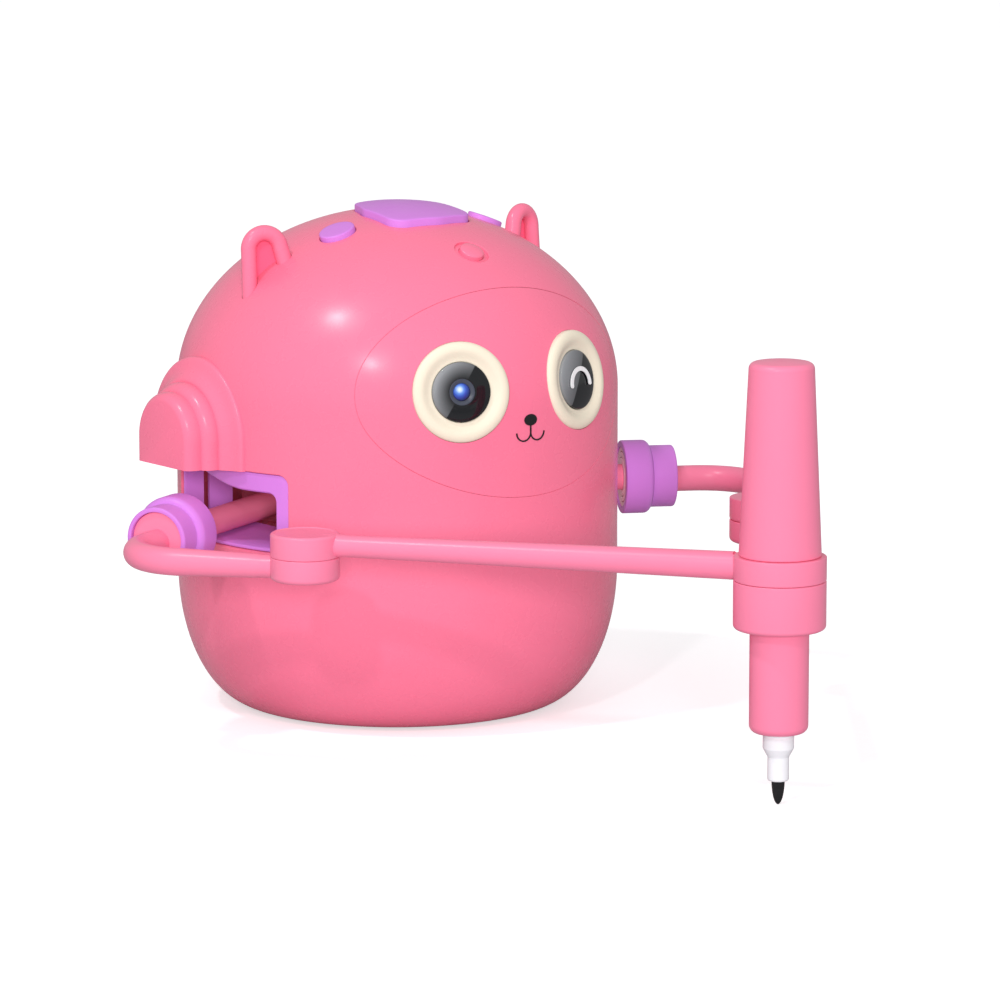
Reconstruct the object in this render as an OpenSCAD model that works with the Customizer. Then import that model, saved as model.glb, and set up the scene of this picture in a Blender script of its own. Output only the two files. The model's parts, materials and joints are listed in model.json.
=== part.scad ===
// Desktop drawing robot: an egg-shaped cat body with two jointed arms that carry a marker.
// +Z is up, the face looks along -Y and the robot's right side is -X.
// The origin is the centre of the base, on the surface that the robot stands on.

/* [Body] */
// Radius of the upright part of the body
body_r = 70; // [69:0.5:72]
// Height at which the dome starts
dome_z = 101.5; // [101:0.5:102]
// Rise of the dome above its start
dome_h = 56.5; // [55.5:0.5:57.5]
// Radius of the flat underside
foot_flat_r = 46; // [44:0.5:47]
// Height at which the rounded foot meets the upright wall
foot_z = 44; // [42:0.5:45]
// Thickness of the moulded casing
wall = 2.4; // [2:0.1:2.6]
// Thickness of the non-slip pad under the base
pad_h = 0.7; // [0.5:0.1:0.7]

/* [Face] */
// Half width of the face panel
face_half_w = 50.5; // [50:0.5:52]
// Half height of the face panel
face_half_h = 31.5; // [31:0.5:33]
// Height of the middle of the face panel
face_z = 106.5; // [106:0.5:107.5]
// Sideways distance of each eye from the middle
eye_x = 21.8; // [21:0.2:22.6]
// Height of the eyes
eye_z = 108.6; // [108:0.2:109.4]
// Angle that each eye is turned outwards
eye_turn = 19; // [18:0.5:20]
// Angle that each eye is tipped upwards
eye_tilt = 8.3; // [6:0.1:10]
// Outer radius of the cream eye rings
eye_ring_r = 15.7; // [15.3:0.1:16]
// Radius of the black eye discs
eye_disc_r = 9.4; // [9.2:0.1:9.6]

/* [Side slots and hoods] */
// Front end of the arm slots
slot_front_y = -29; // [-30:0.5:-28]
// Rear end of the arm slots
slot_rear_y = 27; // [26:0.5:28]
// Height of the bottom of the arm slots
slot_lo_z = 56; // [55.5:0.1:56.2]
// Height of the top of the arm slots
slot_hi_z = 82.9; // [82.5:0.1:84]
// Middle of the shoulder hoods, front to back
hood_y = 10.5; // [9:0.5:12]
// Height of the middle of the arched top of the hoods
hood_z = 92; // [91:0.5:93]

/* [Arms] */
// Distance of the shoulder axis behind the body's middle
shoulder_y = 39.2; // [39:0.1:39.4]
// Height of the upper arms
arm_z = 63.1; // [63:0.1:63.4]
// Length of each of the four links, pivot to pivot
link_len = 144.6; // [144:0.1:145.2]
// Angle between each link and the straight line from shoulder to pen
link_half_angle = 37.6; // [37.2:0.1:38]
// Angle at which the upper arms leave the shoulder, forward of straight sideways
arm_lead = 27.7; // [27.5:0.1:27.9]
// Length of the straight inner stretch of the upper arms
arm_straight = 121; // [120.5:0.5:121.5]
// Radius of the bend in the upper arms
bend_r = 18; // [17.5:0.5:18.5]
// Radius of the arm rods
rod_r = 4.2; // [4:0.1:4.3]
// Radius of the arm rods at the elbows
rod_end_r = 3.4; // [3.2:0.1:3.4]
// Radius of the elbow discs
elbow_r = 10.4; // [10:0.1:11]
// Thickness of each elbow disc and of the upper pen ring
disc_h = 7.2; // [7:0.1:7.3]
// Outer radius of the pen rings
ring_r = 13.6; // [13:0.1:14]
// How far the arms lift to raise the pen
pen_lift = 7; // [4:0.5:7]

/* [Pen] */
// Radius of the pen sleeve
sleeve_r = 8.7; // [8.5:0.1:8.9]
// Height of the lower end of the pen sleeve
sleeve_lo_z = 21.5; // [20:0.5:23]
// Radius of the pen cap where it rests on the rings
cap_lo_r = 12.1; // [11.8:0.1:12.4]
// Radius of the pen cap near its top
cap_hi_r = 9.4; // [9.2:0.1:9.6]
// Height of the top of the pen cap
cap_top_z = 131.5; // [129:0.5:134]
// Radius of the marker barrel
marker_r = 5.8; // [5.5:0.1:5.8]

/* [Rear and base] */
// Half width of the rear cover
rear_half_w = 44; // [43:0.5:45]
// Half height of the rear cover
rear_half_h = 46; // [45:0.5:46]
// Height of the middle of the rear cover
rear_z = 68; // [67:0.5:69]
// Radius of the base plate
base_r = 43.7; // [43.5:0.1:43.8]

/* [Hidden] */
$fn = 64;
e = 0.05;
run_fit = 0.06;
seam = 0.15;
face_gap = 0.1;
join = 0.2;
foot_curve_w = body_r - foot_flat_r;
foot_gap = 0.5;
foot_curve_h = foot_z - foot_gap;
lip_t = 2.5;
skin_t = 1.8;
eye_r = 67.3;

lift_gear_teeth = 12;
gear_m = 1;
gear_press = 25;
gear_pitch_r = gear_m * lift_gear_teeth / 2;
gear_x = 29;
gear_z = 40;
gear_y = 49.5;
gear_w = 4.5;

post_x = 13;
post_y = 56.5;
post_r = 2.5;
hub_r = 10;
hub_h = 7.05;
hub_gap = 0.15;
hub_web = 7;
shaft_r = 3;
servo_w = 12.4;
servo_long = 17;
servo_short = 6;
servo_deep = 22.5;
plate_t = 3;
lower_plate_z = 49;
upper_plate_z = 74.2;
cuff_at = 96.8;
cuff_rise = 1;
cuff_big_h = 9.3;
cuff_small_h = 8;
cuff_big_r = 12;
cuff_small_r = 10.1;
rod_split = cuff_at + 7;
plug_at = cuff_at + cuff_big_h + 0.3;
frame_floor_z = 5.8;
frame_floor_t = 2.5;
board_z = 141.5;
bridge_z = upper_plate_z + plate_t + pen_lift + 0.7;

pen_y = shoulder_y - 2 * link_len * cos(link_half_angle);
elbow = [link_len * sin(link_half_angle), shoulder_y - link_len * cos(link_half_angle)];
ring_top_z = arm_z + 1.5 * disc_h;
lead_dir = [cos(arm_lead), -sin(arm_lead)];
bend_c = [0, shoulder_y] + arm_straight * lead_dir + bend_r * [-sin(arm_lead), -cos(arm_lead)];
to_elbow = elbow - bend_c;
bend_end = atan2(to_elbow[1], to_elbow[0]) + acos(bend_r / norm(to_elbow));
bend_start = 90 - arm_lead;
bend_out = bend_c + bend_r * [cos(bend_end), sin(bend_end)];
out_len = sqrt(pow(norm(to_elbow), 2) - pow(bend_r, 2));

pink = [1, 0.46, 0.6];
purple = [0.78, 0.45, 0.84];
cream = [0.93, 0.89, 0.78];
black = [0.08, 0.08, 0.1];
white = [0.94, 0.94, 0.96];
steel = [0.7, 0.72, 0.75];
board_green = [0.1, 0.4, 0.25];
inner_pink = [0.85, 0.5, 0.62];
pad_grey = [0.3, 0.3, 0.32];
blue = [0.15, 0.3, 0.7];

// ---- shared outlines ----

function ellipse(a, b, n = 72) = [for (i = [0:n - 1]) [a * cos(i * 360 / n), b * sin(i * 360 / n)]];

// Half outline of the body, grown by d: a rounded foot, an upright wall and a dome
function body_outline(d) = concat(
    [[0, foot_gap - d]],
    [for (a = [-90:7.5:0]) [foot_flat_r + (foot_curve_w + d) * cos(a), foot_z + (foot_curve_h + d) * sin(a)]],
    [for (a = [0:5:85]) [(body_r + d) * cos(a), dome_z + (dome_h + d) * sin(a)]],
    [[0, dome_z + dome_h + d]]);

// The solid egg, grown by d
module egg(d = 0) {
    rotate_extrude($fn = 96) polygon(body_outline(d));
}

// The casing between two depths below the outer surface
module skin(outer, inner) {
    difference() {
        egg(-outer);
        egg(-inner);
    }
}

// Upright elliptical prism that runs from the middle out to one face of the body
module panel_prism(half_w, half_h, z, back = false) {
    translate([0, 0, z])
        rotate([back ? -90 : 90, 0, 0])
            translate([0, 0, 20])
                linear_extrude(height = 60) polygon(ellipse(half_w, half_h));
}

// Shapes are drawn for the robot's left side, +X, and mirrored for its right side
module on_side(side) {
    if (side > 0)
        children();
    else
        mirror([1, 0, 0]) children();
}

module tube(r_out, r_in, h) {
    difference() {
        cylinder(r = r_out, h = h);
        translate([0, 0, -1]) cylinder(r = r_in, h = h + 2);
    }
}

// Disc with both rims broken by a small chamfer
module soft_disc(r, h, c = 0.5) {
    rotate_extrude() polygon([[0, 0], [r - c, 0], [r, c], [r, h - c], [r - c, h], [0, h]]);
}

// ---- top buttons ----

module paw_outline(grow = 0) {
    hull() {
        translate([0, -8.9]) circle(r = 14 + grow, $fn = 32);
        for (s = [-1, 1]) {
            translate([s * 9.2, -15.4]) circle(r = 6 + grow, $fn = 32);
            translate([s * 5.9, -4.5]) circle(r = 9 + grow, $fn = 32);
            translate([s * 5.2, 6]) circle(r = 5.6 + grow, $fn = 32);
        }
    }
}

toe_tilt = 19.9;
module toe_place(side) {
    translate([side * 28.5, -8, dome_z + 51.2]) rotate([0, side * toe_tilt, 0]) children();
}

module toe_prism(side, grow, lo, hi) {
    toe_place(side)
        translate([0, 0, lo])
            linear_extrude(height = hi - lo) polygon(ellipse(5.9 + grow, 5.1 + grow, 48));
}

forehead_tilt = 29.1;
module forehead_place() {
    translate([0, -39.8, dome_z + 46.5]) rotate([forehead_tilt, 0, 0]) children();
}

// ---- casing ----

module slot_block(grow, side, x_in) {
    on_side(side)
        translate([x_in, slot_front_y - grow, slot_lo_z - grow])
            cube([30, slot_rear_y - slot_front_y + 2 * grow, slot_hi_z - slot_lo_z + 2 * grow]);
}

module eye_place(side) {
    translate([side * eye_x, -eye_r * cos(eye_turn), eye_z])
        rotate([90 - eye_tilt, 0, side * eye_turn])
            children();
}

base_screw_r = 39;
module base_screw_places() {
    for (a = [45:90:315])
        rotate([0, 0, a]) translate([base_screw_r, 0, 0]) children();
}

// Radius of the outer surface at height z, below the dome
function side_r(z) = z < foot_z
    ? foot_flat_r + foot_curve_w * sqrt(1 - pow((foot_z - z) / foot_curve_h, 2))
    : body_r;

// Each place is on the outer surface, with +Z pointing out of the back
module rear_screw_places() {
    for (a = [40, 140, 220, 320]) {
        x = (rear_half_w - 3) * cos(a);
        z = rear_z + (rear_half_h - 3) * sin(a);
        y = sqrt(pow(side_r(z), 2) - x * x);
        translate([x, y, z]) rotate([-90, 0, -atan2(x, y)]) children();
    }
}

module body_shell() {
    color(pink)
        difference() {
            union() {
                skin(0, wall);
                // ledge that the base plate is screwed to
                intersection() {
                    egg(-1);
                    translate([0, 0, foot_gap + wall]) tube(60, 34, lip_t);
                }
                base_screw_places() translate([0, 0, 4]) cylinder(r = 3.4, h = 4.2);
                // ledge behind the rear cover
                intersection() {
                    skin(skin_t + e, skin_t + e + lip_t);
                    panel_prism(rear_half_w + 3, rear_half_h + 3, rear_z, true);
                }
                // pillars for the button board
                for (p = [[18, 20], [-18, 20], [0, -27.5]])
                    intersection() {
                        translate([p[0], p[1], board_z + 1.6]) cylinder(r = 2, h = 14);
                        egg(-1);
                    }
            }
            translate([0, 0, -1]) cylinder(r = base_r + 0.2, h = foot_gap + wall + 1);
            base_screw_places() cylinder(r = 1.35, h = 20);
            panel_prism(face_half_w, face_half_h, face_z);
            intersection() {
                skin(-1, skin_t);
                panel_prism(rear_half_w, rear_half_h, rear_z, true);
            }
            panel_prism(rear_half_w - 6, rear_half_h - 6, rear_z, true);
            rear_screw_places() translate([0, 0, -15]) cylinder(r = 1.15, h = 20);
            for (side = [-1, 1]) {
                slot_block(0, side, 55);
                toe_prism(side, 0.25, -5, 6);
            }
            translate([0, 0, dome_z + 40]) linear_extrude(height = 25) paw_outline(0.25);
            forehead_place() translate([0, 0, -8]) cylinder(r = 4, h = 12);
            forehead_place() translate([0, 0, -0.8]) cylinder(r = 5.5, h = 5);
        }
}

module face_panel() {
    color(pink)
        difference() {
            intersection() {
                skin(0, wall);
                panel_prism(face_half_w - seam, face_half_h - seam, face_z);
            }
            for (side = [-1, 1])
                eye_place(side) translate([0, 0, -12]) cylinder(r = eye_ring_r + e, h = 30);
        }
}

grille_z = 99;
socket_x = 10;
socket_z = 38;
module rear_cover() {
    color(pink)
        difference() {
            intersection() {
                skin(0, skin_t - face_gap);
                panel_prism(rear_half_w - seam, rear_half_h - seam, rear_z, true);
            }
            rear_screw_places() {
                translate([0, 0, -15]) cylinder(r = 1.3, h = 20);
                translate([0, 0, -1.3]) cylinder(r = 2.1, h = 10);
            }
            // speaker grille: one hole ringed by six and by twelve
            for (ring = [0:2], i = [0:max(0, 6 * ring - 1)]) {
                turn = i * 60 / max(1, ring);
                translate([3 * ring * cos(turn), 50, grille_z + 3 * ring * sin(turn)])
                    rotate([-90, 0, 0]) cylinder(r = 0.8, h = 30);
            }
            translate([-socket_x - 4.7, 55, socket_z - 1.8]) cube([9.4, 20, 3.6]);
            translate([socket_x - 4.2, 55, socket_z - 1.8]) cube([8.4, 20, 3.6]);
        }
}

module screw(head_r, head_h, shank_r, length) {
    cylinder(r = head_r, h = head_h);
    translate([0, 0, head_h - e]) cylinder(r = shank_r, h = length);
}

module case_screws() {
    color(steel) {
        base_screw_places() translate([0, 0, pad_h + 0.3]) screw(2.4, 1, 1.3, 6);
        rear_screw_places() rotate([180, 0, 0]) translate([0, 0, 0.4]) screw(1.9, 0.9, 1.1, 4.5);
    }
}

module base_plate() {
    color(inner_pink)
        difference() {
            translate([0, 0, pad_h]) cylinder(r = base_r, h = foot_gap + wall - pad_h - e);
            base_screw_places() translate([0, 0, -1]) cylinder(r = 2.5, h = pad_h + 2.3);
            base_screw_places() cylinder(r = 1.4, h = 10);
        }
}

module non_slip_pad() {
    color(pad_grey) cylinder(r = 33, h = pad_h);
}

// ---- eyes, nose and ears ----

// Section of an eye ring: a low roll that falls away gently to the disc in its middle
eye_crest = 2.3;
eye_bed = 1.5;
eye_slope = eye_ring_r - eye_crest - eye_disc_r - 0.1;
function eye_roll() = concat(
    [[eye_disc_r + 0.1, -4], [eye_ring_r, -4]],
    [for (a = [0:15:90]) [eye_ring_r - eye_crest * (1 - cos(a)), 0.5 + 1.6 * sin(a)]],
    [for (t = [0.1:0.1:1]) [eye_ring_r - eye_crest - t * eye_slope, eye_bed + 0.3 * (1 + cos(180 * t))]]);

module eye_ring(side) {
    color(cream) eye_place(side) rotate_extrude() polygon(eye_roll());
}

module right_eye_ring() { eye_ring(-1); }
module left_eye_ring() { eye_ring(1); }

module eye_glass() {
    rotate_extrude()
        polygon(concat([[0, -3], [eye_disc_r, -3]],
            [for (a = [0:15:90]) [eye_disc_r * cos(a), 1.5 + 0.9 * sin(a)]]));
}

lens_r = 4.1;
module camera_window() {
    color(black)
        eye_place(-1)
            difference() {
                eye_glass();
                translate([0, 0, -5]) cylinder(r = lens_r + e, h = 10);
            }
}

module camera_lens() {
    color(blue)
        eye_place(-1)
            rotate_extrude()
                polygon(concat([[0, -9], [lens_r, -9], [lens_r, 2.1], [2.8, 1.8]],
                    [for (a = [0:15:90]) [2.7 * cos(a), 1.6 + 0.9 * sin(a)]]));
}

module camera_module() {
    color(board_green)
        eye_place(-1) {
            translate([-8, -8, -10.6]) cube([16, 16, 1.6]);
            translate([-5, -5, -13]) cube([10, 10, 2.5]);
        }
}

module wink_disc() {
    color(black) eye_place(1) eye_glass();
}

wink_r = 4.9;
wink_line = 0.7;
module wink_mark() {
    color(white)
        eye_place(1)
            difference() {
                translate([0, -1.5, 1.6])
                    linear_extrude(height = 1) {
                        difference() {
                            circle(r = wink_r + wink_line);
                            circle(r = wink_r - wink_line);
                            translate([-9, -10]) square([18, 10]);
                        }
                        for (s = [-1, 1])
                            translate([s * wink_r, 0]) circle(r = wink_line, $fn = 32);
                    }
                eye_glass();
            }
}

// Thin print on the front of the casing, following its curve
module nose_and_mouth() {
    color(black)
        intersection() {
            difference() {
                cylinder(r = body_r + 0.25, h = dome_z);
                translate([0, 0, -1]) cylinder(r = body_r, h = dome_z + 2);
            }
            translate([0, -60, 0])
                rotate([90, 0, 0])
                    linear_extrude(height = 15) {
                        translate([0, 98.9]) polygon(ellipse(2.4, 1.8, 32));
                        translate([-0.24, 94.4]) square([0.48, 4]);
                        for (s = [-1, 1])
                            translate([s * 2.6, 95.1])
                                difference() {
                                    circle(r = 2.85);
                                    circle(r = 2.4);
                                    translate([-5, 0]) square([10, 5]);
                                }
                    }
        }
}

ear_bow_r = 5.1;
ear_tube_r = 2.4;
ear_flare = 8;
ear_leg = 22;
module ear(side) {
    ear_foot = ear_bow_r + ear_leg * tan(ear_flare);
    arc = [for (a = [0:6:180]) ear_bow_r * [cos(a), sin(a)]];
    color(pink)
        difference() {
            on_side(side)
                translate([50.2, 0.7, 148.4])
                    rotate([-4, 8, 18]) {
                        rotate([90, 0, 0])
                            rotate_extrude(angle = 180) translate([ear_bow_r, 0]) circle(r = ear_tube_r);
                        for (s = [-1, 1])
                            translate([s * ear_bow_r, 0, 0]) {
                                sphere(r = ear_tube_r + 0.04);
                                rotate([180, -s * ear_flare, 0]) cylinder(r = ear_tube_r, h = ear_leg);
                            }
                        // thin web set back inside the bow
                        translate([0, 2, 0])
                            rotate([90, 0, 0])
                                linear_extrude(height = 1.2)
                                    polygon(concat(arc, [[-ear_foot, -ear_leg], [ear_foot, -ear_leg]]));
                    }
            egg(0);
        }
}

module right_ear() { ear(-1); }
module left_ear() { ear(1); }

// ---- shoulder hoods and slot bezels ----

module arch(r, x_out) {
    translate([55, hood_y, hood_z]) rotate([0, 90, 0]) cylinder(r = r, h = x_out - 55);
    translate([55, hood_y - r, slot_hi_z]) cube([x_out - 55, 2 * r, hood_z - slot_hi_z]);
}

module hood(side) {
    color(pink)
        difference() {
            on_side(side)
                intersection() {
                    union() {
                        arch(23.2, 71.4);
                        arch(16.5, 75.1);
                        arch(13.5, 78.9);
                        arch(11.7, 83.5);
                    }
                    translate([50, -40, slot_hi_z]) cube([50, 90, 60]);
                }
            egg(0);
            // hollow underside
            on_side(side)
                translate([60, hood_y - 9.2, slot_hi_z - 1]) cube([21.5, 18.4, 11]);
        }
}

module right_hood() { hood(-1); }
module left_hood() { hood(1); }

bezel_floor = 1.5;
bezel_head = 6.4;
bezel_front = 4.5;
bezel_rear = 1.5;
bezel_depth = 7.5;
shelf_in = 42;
shelf_out = 58;
shelf_front = -24;
shelf_z = slot_lo_z + seam;
guide_y = 31.4;
guide_t = 1.4;
guide_top = 90;
module slot_bezel(side) {
    color(purple) {
        difference() {
            intersection() {
                skin(0, bezel_depth);
                slot_block(-seam, side, 50);
            }
            on_side(side)
                translate([50, slot_front_y + bezel_front, slot_lo_z + bezel_floor])
                    cube([30, slot_rear_y - slot_front_y - bezel_front - bezel_rear,
                        slot_hi_z - slot_lo_z - bezel_floor - bezel_head]);
        }
        // floor that reaches into the casing, with a guide wall at its rear end
        on_side(side) {
            translate([shelf_in, shelf_front, shelf_z])
                cube([shelf_out - shelf_in, guide_y + guide_t - shelf_front, bezel_floor - seam]);
            translate([shelf_out - e, shelf_front, shelf_z])
                cube([5, slot_rear_y - seam - shelf_front, bezel_floor - seam]);
            translate([shelf_in, guide_y, shelf_z])
                cube([shelf_out - shelf_in, guide_t, guide_top - shelf_z]);
        }
    }
}

module right_slot_bezel() { slot_bezel(-1); }
module left_slot_bezel() { slot_bezel(1); }

// ---- push buttons ----

module main_button() {
    color(purple) {
        intersection() {
            egg(2.1);
            translate([0, 0, dome_z + 47.5]) linear_extrude(height = 20) paw_outline();
        }
        translate([0, 0, dome_z + 47.5]) linear_extrude(height = 2) paw_outline(1.2);
    }
}

module toe_button(side) {
    color(purple) {
        intersection() {
            egg(1.5);
            toe_prism(side, 0, -6.5, 6);
        }
        toe_prism(side, 1.2, -6.5, -4.8);
    }
}

module right_toe_button() { toe_button(-1); }
module left_toe_button() { toe_button(1); }

module forehead_button() {
    color(pink)
        forehead_place()
            rotate_extrude()
                polygon(concat([[0, -6], [5, -6], [5, -4.4], [3.9, -4.4], [3.9, 0.2]],
                    [for (a = [0:15:90]) [3.9 * cos(a), 0.2 + sin(a)]]));
}

module power_slider() {
    color(purple) {
        translate([socket_x - 3.9, 65.6, socket_z - 1.5]) cube([3.8, 4.2, 3]);
        translate([socket_x - 3.4, 64.6, socket_z - 1]) cube([2.4, 1.1, 2]);
    }
}

// ---- fixed inner pieces ----

module inner_frame() {
    color(inner_pink)
        difference() {
            union() {
                intersection() {
                    translate([-36, -46, frame_floor_z]) cube([72, 94, frame_floor_t]);
                    cylinder(r = 48, h = 20);
                }
                // rear stand that carries the guide posts
                translate([-17, 43, frame_floor_z]) cube([34, 3, 17.2]);
                translate([-16.5, 43, 20]) cube([33, 16.5, 3]);
                for (s = [-1, 1])
                    translate([s * post_x, post_y, 20]) cylinder(r = 3.4, h = 6);
                // stand under the lift servo
                translate([21.5, 26, frame_floor_z]) cube([15, 12, 22.9 - frame_floor_z]);
            }
            for (s = [-1, 1])
                translate([s * post_x, post_y, 21]) cylinder(r = post_r, h = 20);
            base_screw_places() cylinder(r = 4, h = 20);
        }
}

module guide_posts() {
    color(steel)
        for (s = [-1, 1])
            translate([s * post_x, post_y, 21]) cylinder(r = post_r, h = bridge_z + plate_t - 21);
}

module post_bridge() {
    color(inner_pink)
        difference() {
            translate([-17, post_y - 5, bridge_z]) cube([34, 9, plate_t]);
            for (s = [-1, 1])
                translate([s * post_x, post_y, bridge_z - 1]) cylinder(r = post_r, h = plate_t + 2);
        }
}

// Servo with its output along +Z at the origin and its case below z = 0
module servo() {
    difference() {
        union() {
            translate([-servo_w / 2, -servo_long, -servo_deep])
                cube([servo_w, servo_long + servo_short, servo_deep]);
            translate([-servo_w / 2, -servo_long - 5, -6])
                cube([servo_w, servo_long + servo_short + 10, 2.4]);
            cylinder(r = 5.9, h = 4);
        }
        translate([0, 0, -7]) cylinder(r = shaft_r + run_fit, h = 20);
        for (y = [-servo_long - 2.5, servo_short + 2.5])
            translate([0, y, -10]) cylinder(r = 1.1, h = 10);
    }
}

servo_gap = 0.2;
module lift_servo() {
    color(blue)
        translate([gear_x, gear_y - 4 - servo_gap, gear_z])
            rotate([-90, 0, 0]) rotate([0, 0, 180]) servo();
}

cell_y = -29;
cell_r = 9.1;
module battery_cell() {
    color(blue) {
        translate([-32, cell_y, 20]) rotate([0, 90, 0]) cylinder(r = cell_r, h = 63);
        translate([31 - e, cell_y, 20]) rotate([0, 90, 0]) cylinder(r = 3, h = 1.6);
    }
}

module battery_holder() {
    color(black)
        difference() {
            translate([-35, cell_y - 11, frame_floor_z + frame_floor_t + e]) cube([70, 22, 11.5]);
            translate([-33, cell_y, 20]) rotate([0, 90, 0]) cylinder(r = cell_r + e, h = 66);
        }
}

module main_board() {
    color(board_green) {
        translate([-32, -10, frame_floor_z + frame_floor_t + e]) cube([64, 1.6, 44]);
        translate([-7, -8.4 - e, 30]) cube([14, 1.4, 14]);
        for (x = [-24, -12, 12, 20])
            translate([x, -8.4 - e, 15]) cube([6, 5, 4]);
    }
}

module button_board() {
    color(board_green) {
        difference() {
            translate([0, 0, board_z]) cylinder(r = 30, h = 1.6 - e);
            forehead_place() translate([0, 0, -20]) cylinder(r = 7, h = 30);
        }
        translate([-3, -6, board_z + 1.5]) cube([6, 6, 4]);
        for (s = [-1, 1])
            translate([s * 24 - 2, -6, board_z + 1.5]) cube([4, 4, 1.2]);
    }
}

module speaker() {
    color(black)
        translate([0, 61, grille_z])
            rotate([90, 0, 0])
                difference() {
                    cylinder(r = 9.5, h = 4.5);
                    translate([0, 0, -1]) cylinder(r1 = 8.4, r2 = 3, h = 3.5);
                }
}

module charging_socket() {
    color(steel)
        difference() {
            translate([-socket_x - 4.5, 60, socket_z - 1.6]) cube([9, 8, 3.2]);
            translate([-socket_x - 4.1, 61.5, socket_z - 1.2]) cube([8.2, 8, 2.4]);
        }
}

module switch_body() {
    color(steel)
        difference() {
            translate([socket_x - 5, 60, socket_z - 2]) cube([10, 5.4, 4]);
            translate([socket_x - 3.8, 64.4, socket_z - 1.2]) cube([7.6, 2, 2.4]);
        }
}

// ---- lift drive ----

function inv_deg(a) = tan(a) * 180 / PI - a;
gear_base_r = gear_pitch_r * cos(gear_press);
gear_tip_r = gear_pitch_r + gear_m;
gear_root_r = gear_pitch_r - 1.25 * gear_m;
tooth_half = 90 / lift_gear_teeth - 0.7;
// Half angle of a gear tooth at radius r, below the base circle straight towards the centre
function flank(r) = tooth_half + inv_deg(gear_press) - inv_deg(acos(min(1, gear_base_r / r)));
flank_r = concat([gear_root_r], [for (i = [0:5]) gear_base_r + i * (gear_tip_r - gear_base_r) / 5]);
function tooth(a) = concat(
    [for (r = flank_r) r * [cos(a - flank(r)), sin(a - flank(r))]],
    [for (i = [len(flank_r) - 1:-1:0]) flank_r[i] * [cos(a + flank(flank_r[i])), sin(a + flank(flank_r[i]))]]);

module lift_pinion() {
    color(white)
        translate([gear_x, gear_y, gear_z])
            rotate([-90, 0, 0]) {
                linear_extrude(height = gear_w)
                    polygon([for (k = [0:lift_gear_teeth - 1]) each tooth(180 + k * 360 / lift_gear_teeth)]);
                translate([0, 0, -9]) cylinder(r = shaft_r, h = 9 + e);
            }
}

rack_pitch = PI * gear_m;
rack_x = gear_x - gear_pitch_r;
rack_lo = -4;
rack_hi = 3;
module lift_rack() {
    half = rack_pitch / 4 - 0.06;
    rise = gear_m * tan(gear_press);
    color(white)
        translate([0, gear_y + gear_w, 0])
            rotate([90, 0, 0])
                linear_extrude(height = gear_w) {
                    translate([18, 28]) square([rack_x - 1.2 - 18, 30]);
                    for (k = [rack_lo:rack_hi])
                        translate([rack_x, gear_z + (k + 0.5) * rack_pitch])
                            polygon([[-1.25, -half - 1.25 * rise], [1, -half + rise], [1, half - rise],
                                [-1.25, half + 1.25 * rise]]);
                }
}

module arm_carriage() {
    color(inner_pink)
        difference() {
            union() {
                for (z = [lower_plate_z, upper_plate_z])
                    translate([-16, 27, z]) cube([32, 30, plate_t]);
                translate([-18, 50, lower_plate_z]) cube([36, 12, upper_plate_z + plate_t - lower_plate_z]);
            }
            translate([0, shoulder_y, lower_plate_z - 1]) cylinder(r = 6.1, h = 50);
            for (s = [-1, 1])
                translate([s * post_x, post_y, 40]) cylinder(r = post_r + run_fit, h = 50);
        }
}

module right_shoulder_servo() {
    color(blue) translate([0, shoulder_y, lower_plate_z - e]) servo();
}

module left_shoulder_servo() {
    color(blue)
        translate([0, shoulder_y, upper_plate_z + plate_t + e])
            mirror([0, 0, 1]) servo();
}

module right_drive_shaft() {
    color(steel) translate([0, shoulder_y, 44]) cylinder(r = shaft_r, h = 17.5);
}

module left_drive_shaft() {
    color(steel) translate([0, shoulder_y, 64.7]) cylinder(r = shaft_r, h = 17.5);
}

// ---- arms ----

// Hub and straight rod; lap is -1 for the hub that takes the lower half of the joint
module inner_arm(lap) {
    hub_lo = lap < 0 ? -hub_gap - hub_h : hub_gap;
    color(pink)
        difference() {
            translate([0, shoulder_y, arm_z]) {
                translate([0, 0, hub_lo]) cylinder(r = hub_r, h = hub_h);
                rotate([0, 0, -arm_lead]) {
                    translate([5, -hub_web / 2, hub_lo + e]) cube([hub_r + 1, hub_web, hub_h - 2 * e]);
                    translate([hub_r + 2, 0, cuff_rise])
                        rotate([0, 90, 0]) cylinder(r = rod_r, h = rod_split - hub_r - 2);
                    // ribs that show in the open back of the cuff
                    for (k = [0:1])
                        translate([cuff_at + 0.2 + 2.2 * k, 0, cuff_rise])
                            rotate([0, 90, 0]) cylinder(r = 8.4, h = 0.9);
                }
            }
            translate([0, shoulder_y, lap < 0 ? 40 : 64.7]) cylinder(r = shaft_r, h = 21.5);
        }
}

module right_inner_arm() { on_side(-1) inner_arm(-1); }
module left_inner_arm() { inner_arm(1); }

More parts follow.
